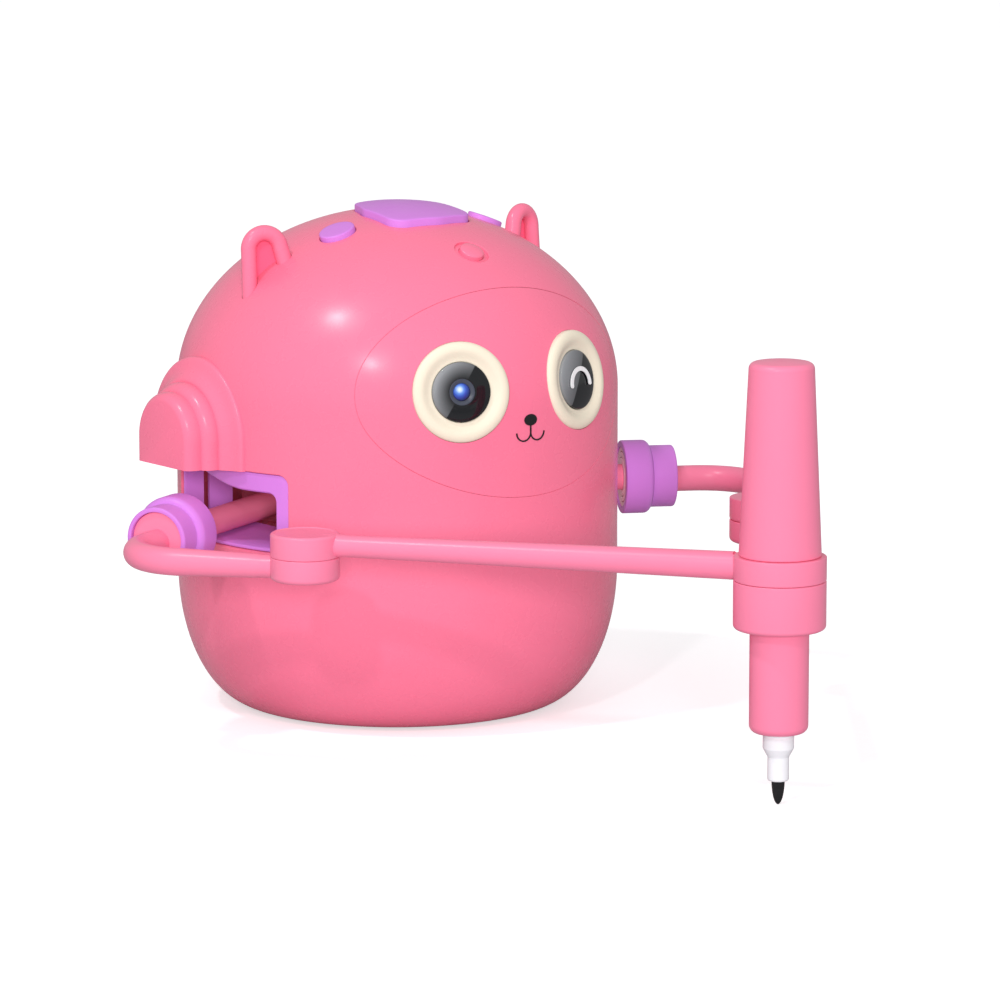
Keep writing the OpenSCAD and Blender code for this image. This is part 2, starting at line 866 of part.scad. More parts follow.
module outer_arm(side) {
    color(pink)
        on_side(side)
            difference() {
                union() {
                    translate([0, shoulder_y, arm_z])
                        rotate([0, 0, -arm_lead]) {
                            // stub and plug that fill the end of the cuff
                            translate([rod_split + e, 0, cuff_rise])
                                rotate([0, 90, 0]) cylinder(r = rod_r, h = plug_at - rod_split + 1);
                            translate([plug_at, 0, cuff_rise])
                                rotate([0, 90, 0]) cylinder(r = cuff_small_r - 1.55, h = cuff_small_h - 1);
                            translate([plug_at + 1, 0, 0])
                                rotate([0, 90, 0])
                                    cylinder(r = rod_r, h = arm_straight - plug_at - 1 + join);
                        }
                    translate([bend_c[0], bend_c[1], arm_z])
                        rotate([0, 0, bend_end])
                            rotate_extrude(angle = bend_start - bend_end)
                                translate([bend_r, 0]) circle(r = rod_r + 0.03);
                    translate([bend_out[0], bend_out[1], arm_z])
                        rotate([0, 90, bend_end - 90])
                            translate([0, 0, -join]) cylinder(r1 = rod_r, r2 = rod_end_r, h = out_len - 5);
                    translate([elbow[0], elbow[1], arm_z - disc_h / 2]) soft_disc(elbow_r, disc_h);
                }
                translate([elbow[0], elbow[1], arm_z - disc_h / 2 - 1])
                    cylinder(r = 2.5, h = disc_h + 2);
            }
}

module right_outer_arm() { outer_arm(-1); }
module left_outer_arm() { outer_arm(1); }

module cuff(side) {
    color(purple)
        on_side(side)
            translate([0, shoulder_y, arm_z + cuff_rise])
                rotate([0, 90, -arm_lead])
                    translate([0, 0, cuff_at])
                        rotate_extrude()
                            polygon(concat(
                                [[9.8, 0], [cuff_big_r - 0.6, 0], [cuff_big_r, 0.6]],
                                [for (a = [0:15:90])
                                    [cuff_big_r - 2.2 + 2.2 * cos(a), cuff_big_h - 2.2 + 2.2 * sin(a)]],
                                [[cuff_small_r, cuff_big_h], [cuff_small_r, cuff_big_h + cuff_small_h - 0.8],
                                    [cuff_small_r - 0.8, cuff_big_h + cuff_small_h],
                                    [cuff_small_r - 1.5, cuff_big_h + cuff_small_h],
                                    [cuff_small_r - 1.5, cuff_big_h], [rod_r + e, cuff_big_h],
                                    [rod_r + e, 6], [9.8, 6]]));
}

module right_cuff() { cuff(-1); }
module left_cuff() { cuff(1); }

// Pins pressed into the upper arms; the forearms turn on them
module elbow_pin(side, up) {
    color(steel)
        translate([side * elbow[0], elbow[1], up ? arm_z - disc_h / 2 + 0.5 : arm_z - 1.5 * disc_h + 1])
            cylinder(r = 2.5, h = 2 * disc_h - 2);
}

module right_elbow_pin() { elbow_pin(-1, true); }
module left_elbow_pin() { elbow_pin(1, false); }

// Forearm for the left side; rod_z is the height of its rod and disc, ring_h reaches up or down
module forearm(side, rod_z, ring_lo, ring_hi, soft_lo) {
    color(pink)
        on_side(side)
            difference() {
                union() {
                    translate([elbow[0], elbow[1], rod_z - disc_h / 2 + face_gap / 2])
                        soft_disc(elbow_r, disc_h - face_gap, 0.7);
                    // the rod is trimmed level with the pieces above and below its ring
                    difference() {
                        translate([elbow[0], elbow[1], rod_z])
                            rotate([0, 90, -90 - link_half_angle])
                                translate([0, 0, 6]) cylinder(r1 = rod_end_r, r2 = rod_r, h = link_len - 18);
                        translate([0, pen_y, ring_hi - e]) cylinder(r = ring_r + 0.2, h = 6);
                        translate([0, pen_y, ring_lo - 6 + e]) cylinder(r = ring_r + 0.2, h = 6);
                    }
                    translate([0, pen_y, ring_lo]) soft_disc(ring_r, ring_hi - ring_lo, soft_lo);
                }
                translate([elbow[0], elbow[1], arm_z - 1.5 * disc_h + 0.9])
                    cylinder(r = 2.5 + run_fit, h = 3 * disc_h - 1.8);
                translate([0, pen_y, 0]) cylinder(r = sleeve_r + run_fit, h = 200);
            }
}

module right_forearm() {
    forearm(-1, arm_z + disc_h, arm_z + disc_h / 2 + face_gap / 2, ring_top_z, 0.5);
}

module left_forearm() {
    forearm(1, arm_z - disc_h, arm_z - 1.5 * disc_h, arm_z + disc_h / 2 - face_gap / 2, 1.2);
}

// ---- pen ----

sleeve_top_z = 90;
module pen_sleeve() {
    color(pink)
        translate([0, pen_y, 0])
            rotate_extrude()
                polygon(concat([[4.75, sleeve_lo_z]],
                    [for (a = [-90:15:0]) [sleeve_r - 2.2 + 2.2 * cos(a), sleeve_lo_z + 2.2 + 2.2 * sin(a)]],
                    [[sleeve_r, sleeve_top_z], [marker_r + e, sleeve_top_z],
                        [marker_r + e, 24.5], [4.75, 24.5]]));
}

cap_lo_z = ring_top_z + face_gap;
cap_shoulder_z = cap_top_z - 2.9;
module pen_cap() {
    color(pink)
        translate([0, pen_y, 0])
            rotate_extrude()
                polygon(concat(
                    [[sleeve_r + e, cap_lo_z], [cap_lo_r - 0.4, cap_lo_z], [cap_lo_r, cap_lo_z + 0.4]],
                    [for (a = [0:10:90])
                        [cap_hi_r * cos(a), cap_shoulder_z + (cap_top_z - cap_shoulder_z) * sin(a)]],
                    [[0, cap_top_z - 5], [marker_r + 0.7, cap_top_z - 5],
                        [marker_r + 0.7, sleeve_top_z + 0.2], [sleeve_r + e, sleeve_top_z + 0.2]]));
}

module marker_barrel() {
    color(white) translate([0, pen_y, 24.6]) cylinder(r = marker_r, h = 97);
}

module marker_nose() {
    color(white)
        translate([0, pen_y, 0])
            rotate_extrude()
                polygon([[0, 7.2], [2.9, 7.2], [3.2, 7.6], [3.2, 14.2], [4.2, 16], [4.65, 17], [4.65, 20.4],
                    [4.65, 24.6 - e], [0, 24.6 - e]]);
}

module marker_tip() {
    color(black)
        translate([0, pen_y, 0])
            rotate_extrude()
                polygon(concat([[0, 0]], [for (a = [10:10:90]) [1.95 * sin(a), 7.2 * (1 - cos(a))]]));
}

body_shell();
face_panel();
rear_cover();
case_screws();
base_plate();
non_slip_pad();
right_eye_ring();
left_eye_ring();
camera_window();
camera_lens();
camera_module();
wink_disc();
wink_mark();
nose_and_mouth();
right_ear();
left_ear();
right_hood();
left_hood();
right_slot_bezel();
left_slot_bezel();
inner_frame();
guide_posts();
post_bridge();
lift_servo();
battery_cell();
battery_holder();
main_board();
button_board();
speaker();
charging_socket();
switch_body();
power_slider();
main_button();
right_toe_button();
left_toe_button();
forehead_button();
arm_carriage();
lift_rack();
lift_pinion();
right_shoulder_servo();
left_shoulder_servo();
right_drive_shaft();
left_drive_shaft();
right_inner_arm();
left_inner_arm();
right_outer_arm();
left_outer_arm();
right_cuff();
left_cuff();
right_elbow_pin();
left_elbow_pin();
right_forearm();
left_forearm();
pen_sleeve();
pen_cap();
marker_barrel();
marker_nose();
marker_tip();
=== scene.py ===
"""Desktop drawing robot: the visible pieces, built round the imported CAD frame."""
import json
from math import atan2, cos, pi, radians, sin, sqrt, tan

import bmesh
import bpy
from mathutils import Matrix, Vector


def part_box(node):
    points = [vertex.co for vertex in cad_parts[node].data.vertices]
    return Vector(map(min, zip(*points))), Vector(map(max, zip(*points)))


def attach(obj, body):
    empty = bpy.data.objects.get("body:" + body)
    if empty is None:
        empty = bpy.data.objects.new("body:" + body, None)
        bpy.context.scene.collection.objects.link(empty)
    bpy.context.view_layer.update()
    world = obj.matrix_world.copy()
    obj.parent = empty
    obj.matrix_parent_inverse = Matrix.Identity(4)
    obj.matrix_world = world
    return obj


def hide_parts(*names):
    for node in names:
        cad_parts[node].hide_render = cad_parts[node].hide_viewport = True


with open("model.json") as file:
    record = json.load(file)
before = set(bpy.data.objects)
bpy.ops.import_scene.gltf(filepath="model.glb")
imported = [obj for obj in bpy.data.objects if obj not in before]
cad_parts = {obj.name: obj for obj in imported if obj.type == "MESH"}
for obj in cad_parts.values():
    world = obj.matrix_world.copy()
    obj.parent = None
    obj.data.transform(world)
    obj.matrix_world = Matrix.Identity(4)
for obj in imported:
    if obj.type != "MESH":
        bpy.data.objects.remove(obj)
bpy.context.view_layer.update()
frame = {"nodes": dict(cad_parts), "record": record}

MM = 0.001
SIDES = {"right": -1, "left": 1}


def mm_box(node):
    """Lowest and highest corner of a CAD node, in millimetres."""
    lo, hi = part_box(node)
    return lo / MM, hi / MM


def middle(node):
    lo, hi = mm_box(node)
    return (lo + hi) / 2


# ---- camera ----

camera_data = bpy.data.cameras.new("camera")
camera_data.lens = 191.22
camera_data.sensor_width = 36
camera_data.clip_end = 50
camera = bpy.data.objects.new("camera", camera_data)
camera.location = Vector((-974.30, -1354.96, 348.56)) * MM
aim = Vector((24.535, -21.617, 64.79)) * MM
camera.rotation_euler = (aim - camera.location).to_track_quat("-Z", "Y").to_euler()
bpy.context.scene.collection.objects.link(camera)
bpy.context.scene.camera = camera

# ---- finishes ----


def linear(srgb):
    """Shader colour of an 8-bit screen colour."""
    out = [c / 255 / 12.92 if c <= 10 else ((c / 255 + 0.055) / 1.055) ** 2.4 for c in srgb]
    return (*out, 1)


class Finish:
    """A node material with colour, gloss and surface that vary over the piece."""

    def __init__(self, name, rough, specular=0.5, metal=0.0, coat=0.0):
        self.material = bpy.data.materials.new(name)
        self.material.use_nodes = True
        self.nodes = self.material.node_tree.nodes
        self.links = self.material.node_tree.links
        self.shader = self.nodes["Principled BSDF"]
        self.shader.inputs["Metallic"].default_value = metal
        self.shader.inputs["Roughness"].default_value = rough
        self.shader.inputs["Specular IOR Level"].default_value = specular
        self.shader.inputs["Coat Weight"].default_value = coat
        self.shader.inputs["Coat Roughness"].default_value = 0.08
        self.where = self.nodes.new("ShaderNodeTexCoord").outputs["Object"]

    def noise(self, scale, detail=2.0, where=None):
        node = self.nodes.new("ShaderNodeTexNoise")
        node.inputs["Scale"].default_value = scale
        node.inputs["Detail"].default_value = detail
        self.links.new(where or self.where, node.inputs["Vector"])
        return node.outputs["Fac"]

    def spread(self, value, lo, hi, start=0.3, end=0.7):
        node = self.nodes.new("ShaderNodeMapRange")
        for name, number in (("From Min", start), ("From Max", end), ("To Min", lo), ("To Max", hi)):
            node.inputs[name].default_value = number
        self.links.new(value, node.inputs["Value"])
        return node.outputs["Result"]

    def mix(self, share, a, b):
        node = self.nodes.new("ShaderNodeMix")
        node.data_type = "RGBA"
        self.links.new(share, node.inputs["Factor"])
        for socket, colour in ((node.inputs[6], a), (node.inputs[7], b)):
            if isinstance(colour, tuple):
                socket.default_value = colour
            else:
                self.links.new(colour, socket)
        return node.outputs[2]

    def vector(self, operation, a, b):
        node = self.nodes.new("ShaderNodeVectorMath")
        node.operation = operation
        self.links.new(a, node.inputs[0])
        node.inputs[1].default_value = b
        return node.outputs["Value" if operation in ("DOT_PRODUCT", "LENGTH", "DISTANCE") else "Vector"]

    def product(self, a, b):
        node = self.nodes.new("ShaderNodeMath")
        node.operation = "MULTIPLY"
        self.links.new(a, node.inputs[0])
        self.links.new(b, node.inputs[1])
        return node.outputs[0]

    def colour(self, value):
        self.links.new(value, self.shader.inputs["Base Color"])

    def gloss(self, value):
        self.links.new(value, self.shader.inputs["Roughness"])

    def surface(self, *layers):
        """Bump from (height, depth in millimetres) layers."""
        normal = None
        for height, depth in layers:
            node = self.nodes.new("ShaderNodeBump")
            node.inputs["Distance"].default_value = depth * MM
            self.links.new(height, node.inputs["Height"])
            if normal:
                self.links.new(normal, node.inputs["Normal"])
            normal = node.outputs["Normal"]
        self.links.new(normal, self.shader.inputs["Normal"])


def toned(srgb, share):
    """The colour made lighter or darker by a share."""
    r, g, b, _ = linear(srgb)
    return (min(1, r * (1 + share)), min(1, g * (1 + share)), min(1, b * (1 + share)), 1)


def plastic(name, srgb, rough=0.3, vary=0.008, grain=1400, grain_depth=0.0015, ripple=0.001, **shader):
    """Moulded plastic: faint mottling, fine grain and the slow ripple of a moulded surface."""
    made = Finish(name, rough, **shader)
    mottle = made.noise(45, 3)
    made.colour(made.mix(made.spread(mottle, 0, 1), toned(srgb, -vary), toned(srgb, vary)))
    made.gloss(made.spread(made.noise(160, 4), rough * 0.88, rough * 1.14))
    made.surface((made.noise(grain, 2), grain_depth), (made.noise(70, 1), ripple))
    return made.material


def brushed(name, srgb, rough, stretch=(1, 1, 0.04)):
    """Metal with fine marks drawn out along Z."""
    made = Finish(name, rough, metal=1.0)
    squeezed = made.vector("MULTIPLY", made.where, stretch)
    marks = made.noise(5200, 3, squeezed)
    made.colour(made.mix(made.spread(marks, 0, 1), toned(srgb, -0.12), toned(srgb, 0.1)))
    made.gloss(made.spread(marks, rough * 0.7, rough * 1.4))
    made.surface((marks, 0.008))
    return made.material


def printed_board(name):
    """Green circuit board: solder mask with paler copper runs under it."""
    made = Finish(name, 0.35, coat=0.3)
    brick = made.nodes.new("ShaderNodeTexBrick")
    brick.inputs["Scale"].default_value = 260
    brick.inputs["Mortar Size"].default_value = 0.05
    made.links.new(made.where, brick.inputs["Vector"])
    made.colour(made.mix(brick.outputs["Fac"], linear((22, 92, 58)), linear((52, 128, 84))))
    made.surface((brick.outputs["Fac"], 0.03), (made.noise(900), 0.01))
    return made.material


PINK = (250, 123, 155)
FINISHES = {
    "pink_shell": plastic("pink_shell", PINK, rough=0.27, specular=0.42),
    "pink_arm": plastic("pink_arm", (252, 134, 168), rough=0.32, specular=0.42),
    "purple_trim": plastic("purple_trim", (213, 130, 224), rough=0.4, specular=0.4),
    "cream_ring": plastic("cream_ring", (239, 229, 208), rough=0.42, specular=0.35),
    "black_gloss": plastic("black_gloss", (22, 23, 25), rough=0.07, grain_depth=0.0005, ripple=0.001),
    "lens": plastic("lens", (36, 62, 150), rough=0.05, grain_depth=0.0005, ripple=0.001, coat=0.6),
    "print_white": plastic("print_white", (246, 246, 248), rough=0.4),
    "print_black": plastic("print_black", (16, 15, 17), rough=0.38, vary=0.1),
    "inner_plastic": plastic("inner_plastic", (238, 138, 168), rough=0.5, grain=700, grain_depth=0.02),
    "rubber_pad": plastic("rubber_pad", (92, 90, 96), rough=0.78, vary=0.03, grain=1800, grain_depth=0.05),
    "steel": brushed("steel", (196, 199, 204), 0.26),
    "servo_case": plastic("servo_case", (38, 62, 138), rough=0.42, vary=0.03, grain=900, grain_depth=0.012),
    "cell_wrap": plastic("cell_wrap", (46, 96, 158), rough=0.3, vary=0.05),
    "black_plastic": plastic(
        "black_plastic", (34, 34, 37), rough=0.48, vary=0.04, grain=900, grain_depth=0.015),
    "circuit_board": printed_board("circuit_board"),
    "marker_white": plastic("marker_white", (243, 243, 248), rough=0.33),
    "marker_ink": plastic("marker_ink", (20, 20, 23), rough=0.62, vary=0.06, grain=2600, grain_depth=0.03),
}
# deeper pink of the ear webs, paler pink of the cuff liners, and painted shade for the dark lines between
# their rings
WEB_PINK = plastic("pink_shell_deep", (246, 104, 142), rough=0.34, specular=0.35)
PALE_PINK = plastic("pink_arm_pale", (250, 214, 222), rough=0.4)
PAINTED_SHADE_PINK = plastic("pink_arm_painted_shade", (150, 62, 92), rough=0.5)

# every CAD node takes the finish of its own slot, and the pieces below replace most that show
for part in frame["record"]["subparts"]:
    thing = frame["nodes"][part["node"]]
    thing.data.materials.clear()
    thing.data.materials.append(FINISHES[part["material_slot"]])

# ---- mesh tools, in millimetres ----


def ring_angles(n):
    return [2 * pi * i / n for i in range(n)]


def loft(loops, caps=False, closed=False):
    """Vertices and faces of a skin over loops that have the same number of points."""
    n, count = len(loops[0]), len(loops)
    faces = []
    for i in range(count if closed else count - 1):
        a, b = i * n, (i + 1) % count * n
        faces += [(a + j, a + (j + 1) % n, b + (j + 1) % n, b + j) for j in range(n)]
    if caps:
        faces += [tuple(range(n))[::-1], tuple(range((count - 1) * n, count * n))]
    return [p for loop in loops for p in loop], faces


def soften(points, steps=5):
    """A section whose corners are rounded by the radius in each point's third value."""
    out = []
    for i, (x, y, r) in enumerate(points):
        corner = Vector((x, y))
        if not r:
            out.append((x, y))
            continue
        a = (Vector(points[i - 1][:2]) - corner).normalized()
        b = (Vector(points[(i + 1) % len(points)][:2]) - corner).normalized()
        half = a.angle(b) / 2
        centre = corner + (a + b).normalized() * (r / sin(half))
        start, end = corner + a * (r / tan(half)) - centre, corner + b * (r / tan(half)) - centre
        first = atan2(start.y, start.x)
        turn = (atan2(end.y, end.x) - first + pi) % (2 * pi) - pi
        for k in range(steps + 1):
            angle = first + turn * k / steps
            out.append((centre.x + r * cos(angle), centre.y + r * sin(angle)))
    return out


def revolve(section, place=Matrix(), n=96, closed=False):
    """Skin of a (radius, height) section turned about Z and put in place."""
    loops = [[place @ Vector((r * cos(a), r * sin(a), h)) for a in ring_angles(n)] for r, h in section]
    return loft(loops, closed=closed)


def sweep(path, radii, n=40):
    """Tube with closed ends along a path, with one radius for each point."""
    points = [Vector(p) for p in path]
    last = len(points) - 1
    normal = Vector((0.31, 0.17, 0.94))
    loops = []
    for i, p in enumerate(points):
        along = (points[min(i + 1, last)] - points[max(i - 1, 0)]).normalized()
        normal = (normal - along * normal.dot(along)).normalized()
        side = along.cross(normal)
        r = radii[i]
        loops.append([p + (normal * cos(a) + side * sin(a)) * r for a in ring_angles(n)])
    return loft(loops, caps=True)


def build(name, geometry):
    """A linked object from millimetre vertices and faces, with its normals facing out."""
    vertices, faces = geometry
    data = bpy.data.meshes.new(name)
    data.from_pydata([Vector(v) * MM for v in vertices], [], faces)
    bm = bmesh.new()
    bm.from_mesh(data)
    bmesh.ops.remove_doubles(bm, verts=bm.verts, dist=1e-3 * MM)
    bmesh.ops.recalc_face_normals(bm, faces=bm.faces)
    bm.to_mesh(data)
    bm.free()
    made = bpy.data.objects.new(name, data)
    bpy.context.scene.collection.objects.link(made)
    return made


def apply(thing):
    """Fixes the object's modifiers in its mesh."""
    graph = bpy.context.evaluated_depsgraph_get()
    data = bpy.data.meshes.new_from_object(thing.evaluated_get(graph), depsgraph=graph)
    thing.modifiers.clear()
    thing.data = data


def combine(thing, others, operation):
    """Cuts the others out of the object, or joins them to it, and deletes them."""
    for other in others:
        step = thing.modifiers.new("step", "BOOLEAN")
        step.object, step.operation, step.solver = other, operation, "EXACT"
    apply(thing)
    for other in others:
        bpy.data.objects.remove(other)
    return thing


def cut(thing, *others):
    return combine(thing, others, "DIFFERENCE")


def unite(thing, *others):
    return combine(thing, others, "UNION")


def piece(thing, finish, body="body", nodes=(), sharp=32, slot=None):
    """Gives an object its finish, body and shading, and hides the CAD nodes that it stands for. The slot is
    not used.
    """
    data = thing.data
    data.materials.clear()
    data.materials.append(FINISHES[finish] if isinstance(finish, str) else finish)
    for polygon in data.polygons:
        polygon.use_smooth = True
        polygon.material_index = 0
    data.set_sharp_from_angle(angle=radians(sharp))
    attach(thing, body)
    if nodes:
        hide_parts(*nodes)
    slot or finish
    return thing


def moved(thing, place):
    """Moves an object's mesh by a placement in millimetres."""
    thing.data.transform(Matrix.Scale(MM, 4) @ place @ Matrix.Scale(1 / MM, 4))
    return thing


def on_side(thing, side):
    """The object as built for the robot's left, or its mirror image for the right."""
    if side < 0:
        thing.data.transform(Matrix.Scale(-1, 4, (1, 0, 0)))
        thing.data.flip_normals()
    return thing


def bevelled(thing, width, segments=3, angle=40):
    """Rounds the object's sharp edges by a width in millimetres."""
    step = thing.modifiers.new("round", "BEVEL")
    step.width, step.segments = width * MM, segments
    step.limit_method, step.angle_limit = "ANGLE", radians(angle)
    apply(thing)
    return thing


def block(lo, hi):
    """Geometry of a box between two corners."""
    (x0, y0, z0), (x1, y1, z1) = lo, hi
    loops = [[(x0, y0, z), (x1, y0, z), (x1, y1, z), (x0, y1, z)] for z in (z0, z1)]
    return loft(loops, caps=True)


# ---- outlines ----


def resample(points, n):
    """The same closed outline with n points, evenly spaced."""
    points = [Vector(p) for p in points]
    closed = points + points[:1]
    spans = [(b - a).length for a, b in zip(closed, closed[1:])]
    total, out, i, passed = sum(spans), [], 0, 0.0
    for k in range(n):
        goal = total * k / n
        while passed + spans[i] < goal:
            passed += spans[i]
            i += 1
        out.append(closed[i].lerp(closed[i + 1], (goal - passed) / spans[i]))
    return out


def hull_outline(circles, n):
    """Outline of the tightest band round some (x, y, radius) circles."""
    points = []
    for a in ring_angles(720):
        x, y, r = max(circles, key=lambda c: c[0] * cos(a) + c[1] * sin(a) + c[2])
        p = (x + r * cos(a), y + r * sin(a))
        if not points or (Vector(p) - Vector(points[-1])).length > 1e-4:
            points.append(p)
    return inset_outline(resample(points, n))


def ellipse_outline(a, b, n, x=0, y=0):
    return inset_outline([(x + a * cos(t), y + b * sin(t)) for t in ring_angles(n)])


def inset_outline(points):
    """A function that gives the outline drawn in by some distance."""
    points = [Vector(p) for p in points]
    outward = []
    for i in range(len(points)):
        along = (points[(i + 1) % len(points)] - points[i - 1]).normalized()
        outward.append(Vector((along.y, -along.x)))
    return lambda inset: [p - m * inset for p, m in zip(points, outward)]


def pad(outline, lift, rim, steps=12):
    """Skin of a pad: lift(u, v, height) puts a point over a curved surface, and rim lists
    (inset, height) from the pad's underside up to its top face."""

    def loop(points, share, height):
        mid = sum(points, Vector((0, 0))) / len(points)
        return [lift(*(mid + (p - mid) * share), height) for p in points]

    low, high = outline(rim[0][0]), outline(rim[-1][0])
    shares = [k / steps for k in range(steps)]
    loops = [loop(low, s, rim[0][1]) for s in shares]
    loops += [loop(outline(inset), 1, height) for inset, height in rim]
    loops += [loop(high, s, rim[-1][1]) for s in reversed(shares)]
    return loft(loops)


# ---- the egg that every casing piece follows ----

BODY_R, DOME_Z, DOME_H = 70.0, 101.5, 56.5
FLAT_R, FOOT_Z, FOOT_LO = 46.0, 44.0, 0.5
WALL = 2.4
# radius of the opening in the casing's underside, which the base plate closes
UNDERSIDE_R = 43.9


def egg_radius(z, d=0.0):
    """Radius of the egg, grown by d, at a height."""
    if z >= DOME_Z:
        return (BODY_R + d) * sqrt(max(0, 1 - ((z - DOME_Z) / (DOME_H + d)) ** 2))
    if z >= FOOT_Z:
        return BODY_R + d
    drop = (FOOT_Z - z) / (FOOT_Z - FOOT_LO + d)
    return FLAT_R + (BODY_R - FLAT_R + d) * sqrt(max(0, 1 - drop * drop))


def egg_section(d, inner_r):
    """Half section of the egg, grown by d, from a radius on its flat underside to its top."""
    foot_w, foot_h = BODY_R - FLAT_R + d, FOOT_Z - FOOT_LO + d
    out = [(inner_r, FOOT_LO - d)]
    out += [(FLAT_R + foot_w * sin(radians(a)), FOOT_Z - foot_h * cos(radians(a))) for a in range(0, 91, 3)]
    out += [(BODY_R + d, FOOT_Z + (DOME_Z - FOOT_Z) * k / 12) for k in range(1, 12)]
    dome_r, dome_h = BODY_R + d, DOME_H + d
    out += [(dome_r * cos(radians(a)), DOME_Z + dome_h * sin(radians(a))) for a in range(0, 90, 2)]
    return out + [(0, DOME_Z + dome_h)]


def egg_normal(p):
    """Outward direction of the egg next to a point, in millimetres."""
    r = sqrt(p.x * p.x + p.y * p.y)
    if p.z > DOME_Z:
        return Vector((p.x / BODY_R ** 2, p.y / BODY_R ** 2, (p.z - DOME_Z) / DOME_H ** 2)).normalized()
    if p.z > FOOT_Z or r < 1e-6:
        return Vector((p.x, p.y, 0)).normalized()
    out = (r - FLAT_R) / (BODY_R - FLAT_R) ** 2
    down = (p.z - FOOT_Z) / (FOOT_Z - FOOT_LO) ** 2
    return Vector((p.x / r * out, p.y / r * out, down)).normalized()


def egg_shading(thing, d=0.0, fit=0.05):
    """Shades the faces within fit of the egg, grown by d, as the egg itself, so no cut dents the gloss."""
    data = thing.data
    normals = [Vector((0, 0, 0))] * len(data.loops)
    for polygon in data.polygons:
        corners = [data.vertices[i].co / MM for i in polygon.vertices]
        if any(c.z < FOOT_LO + 0.2 or abs(sqrt(c.x ** 2 + c.y ** 2) - egg_radius(c.z, d)) > fit
               for c in corners if c.z < DOME_Z + 0.9 * DOME_H):
            continue
        if polygon.normal.dot(egg_normal(polygon.center / MM)) < 0.9:
            continue
        for i, corner in zip(polygon.loop_indices, corners):
            normals[i] = egg_normal(corner)
    data.normals_split_custom_set(normals)


def facing(side_y):
    """Lifts (x, z) onto the front or the back of the egg."""
    return lambda x, z, h: Vector((x, side_y * sqrt(max(0, egg_radius(z, h) ** 2 - x * x)), z))


def sideways(side):
    """Lifts (y, z) onto the left or the right of the egg."""
    return lambda y, z, h: Vector((side * sqrt(max(0, egg_radius(z, h) ** 2 - y * y)), y, z))


def on_dome(place):
    """Lifts (x, y) of a placed frame along its own Z onto the dome."""
    along = (place.to_3x3() @ Vector((0, 0, 1))).normalized()

    def lift(x, y, h):
        start = place @ Vector((x, y, 0)) - Vector((0, 0, DOME_Z))
        size = (BODY_R + h, BODY_R + h, DOME_H + h)
        a = sum((along[i] / size[i]) ** 2 for i in range(3))
        b = sum(2 * start[i] * along[i] / size[i] ** 2 for i in range(3))
        c = sum((start[i] / size[i]) ** 2 for i in range(3)) - 1
        t = (-b + sqrt(max(0, b * b - 4 * a * c))) / (2 * a)
        return start + along * t + Vector((0, 0, DOME_Z))

    return lift


def opening(outline, lift, depth=6.0, gap=0.0, lead=0.22, top=4.0):
    """Cutter for an opening, a gap wider than its outline, with a small rounded mouth."""
    rim = [(-gap, -depth), (-gap, -lead), (-gap - lead * 0.3, -lead * 0.3), (-gap - lead, 0.02),
           (-gap - lead - 0.1, top)]
    return build("cutter", pad(outline, lift, rim, steps=6))


# ---- casing ----

FACE_HALF_W, FACE_HALF_H, FACE_Z = 50.5, 31.5, 106.5
REAR_HALF_W, REAR_HALF_H, REAR_Z = 44.0, 46.0, 68.0
# half of each seam's width
SEAM, FACE_SEAM = 0.15, 0.07
face_outline = ellipse_outline(FACE_HALF_W, FACE_HALF_H, 192, 0, FACE_Z)
rear_outline = ellipse_outline(REAR_HALF_W, REAR_HALF_H, 192, 0, REAR_Z)

# arm slots: the mouth's front edge, sill and head are set off from the bezels and the hoods
MOUTH_FRONT, MOUTH_SILL, MOUTH_HEAD, MOUTH_REAR = 1.15, 1.55, 0.7, 27.0
bezel_lo = mm_box("left_slot_bezel")[0]
slot_front, slot_rear = bezel_lo.y - MOUTH_FRONT, MOUTH_REAR
slot_lo, slot_hi = bezel_lo.z + MOUTH_SILL, mm_box("left_hood")[0].z - MOUTH_HEAD
CORNER = 3.2
slot_outline = hull_outline(
    [(slot_front + CORNER, slot_hi - CORNER, CORNER), (slot_front + CORNER, slot_lo + CORNER, CORNER),
     (slot_rear - 1, slot_hi - 1, 1), (slot_rear - 1, slot_lo + 1, 1)], 128)

# the main button is the hull of one middle circle and these pairs, each (x, y, radius)
PAW_MIDDLE, PAW_PAIRS = (0, -8.9, 14), ((9.2, -15.4, 6), (5.9, -4.5, 9), (5.2, 6, 5.6))
TOE_HALF_W, TOE_HALF_L, TOE_X, TOE_Y, TOE_RISE, TOE_TILT = 5.9, 5.1, 28.5, -8, 51.2, 19.9
FOREHEAD_Y, FOREHEAD_RISE, FOREHEAD_TILT, BUMP_R, BUMP_HOLE_R, BUMP_DISH_R = -39.8, 46.5, 29.1, 3.9, 4.05, 5.5
paw_outline = hull_outline([PAW_MIDDLE] + [(s * x, y, r) for x, y, r in PAW_PAIRS for s in (1, -1)], 160)
paw_lift = on_dome(Matrix.Translation((0, 0, DOME_Z + 20)))
toe_outline = ellipse_outline(TOE_HALF_W, TOE_HALF_L, 72)
toe_lift = {
    side: on_dome(Matrix.Translation((side * TOE_X, TOE_Y, DOME_Z + TOE_RISE))
                  @ Matrix.Rotation(radians(side * TOE_TILT), 4, "Y"))
    for side in (-1, 1)}
forehead = (Matrix.Translation((0, FOREHEAD_Y, DOME_Z + FOREHEAD_RISE))
            @ Matrix.Rotation(radians(FOREHEAD_TILT), 4, "X"))
forehead_lift = on_dome(forehead)

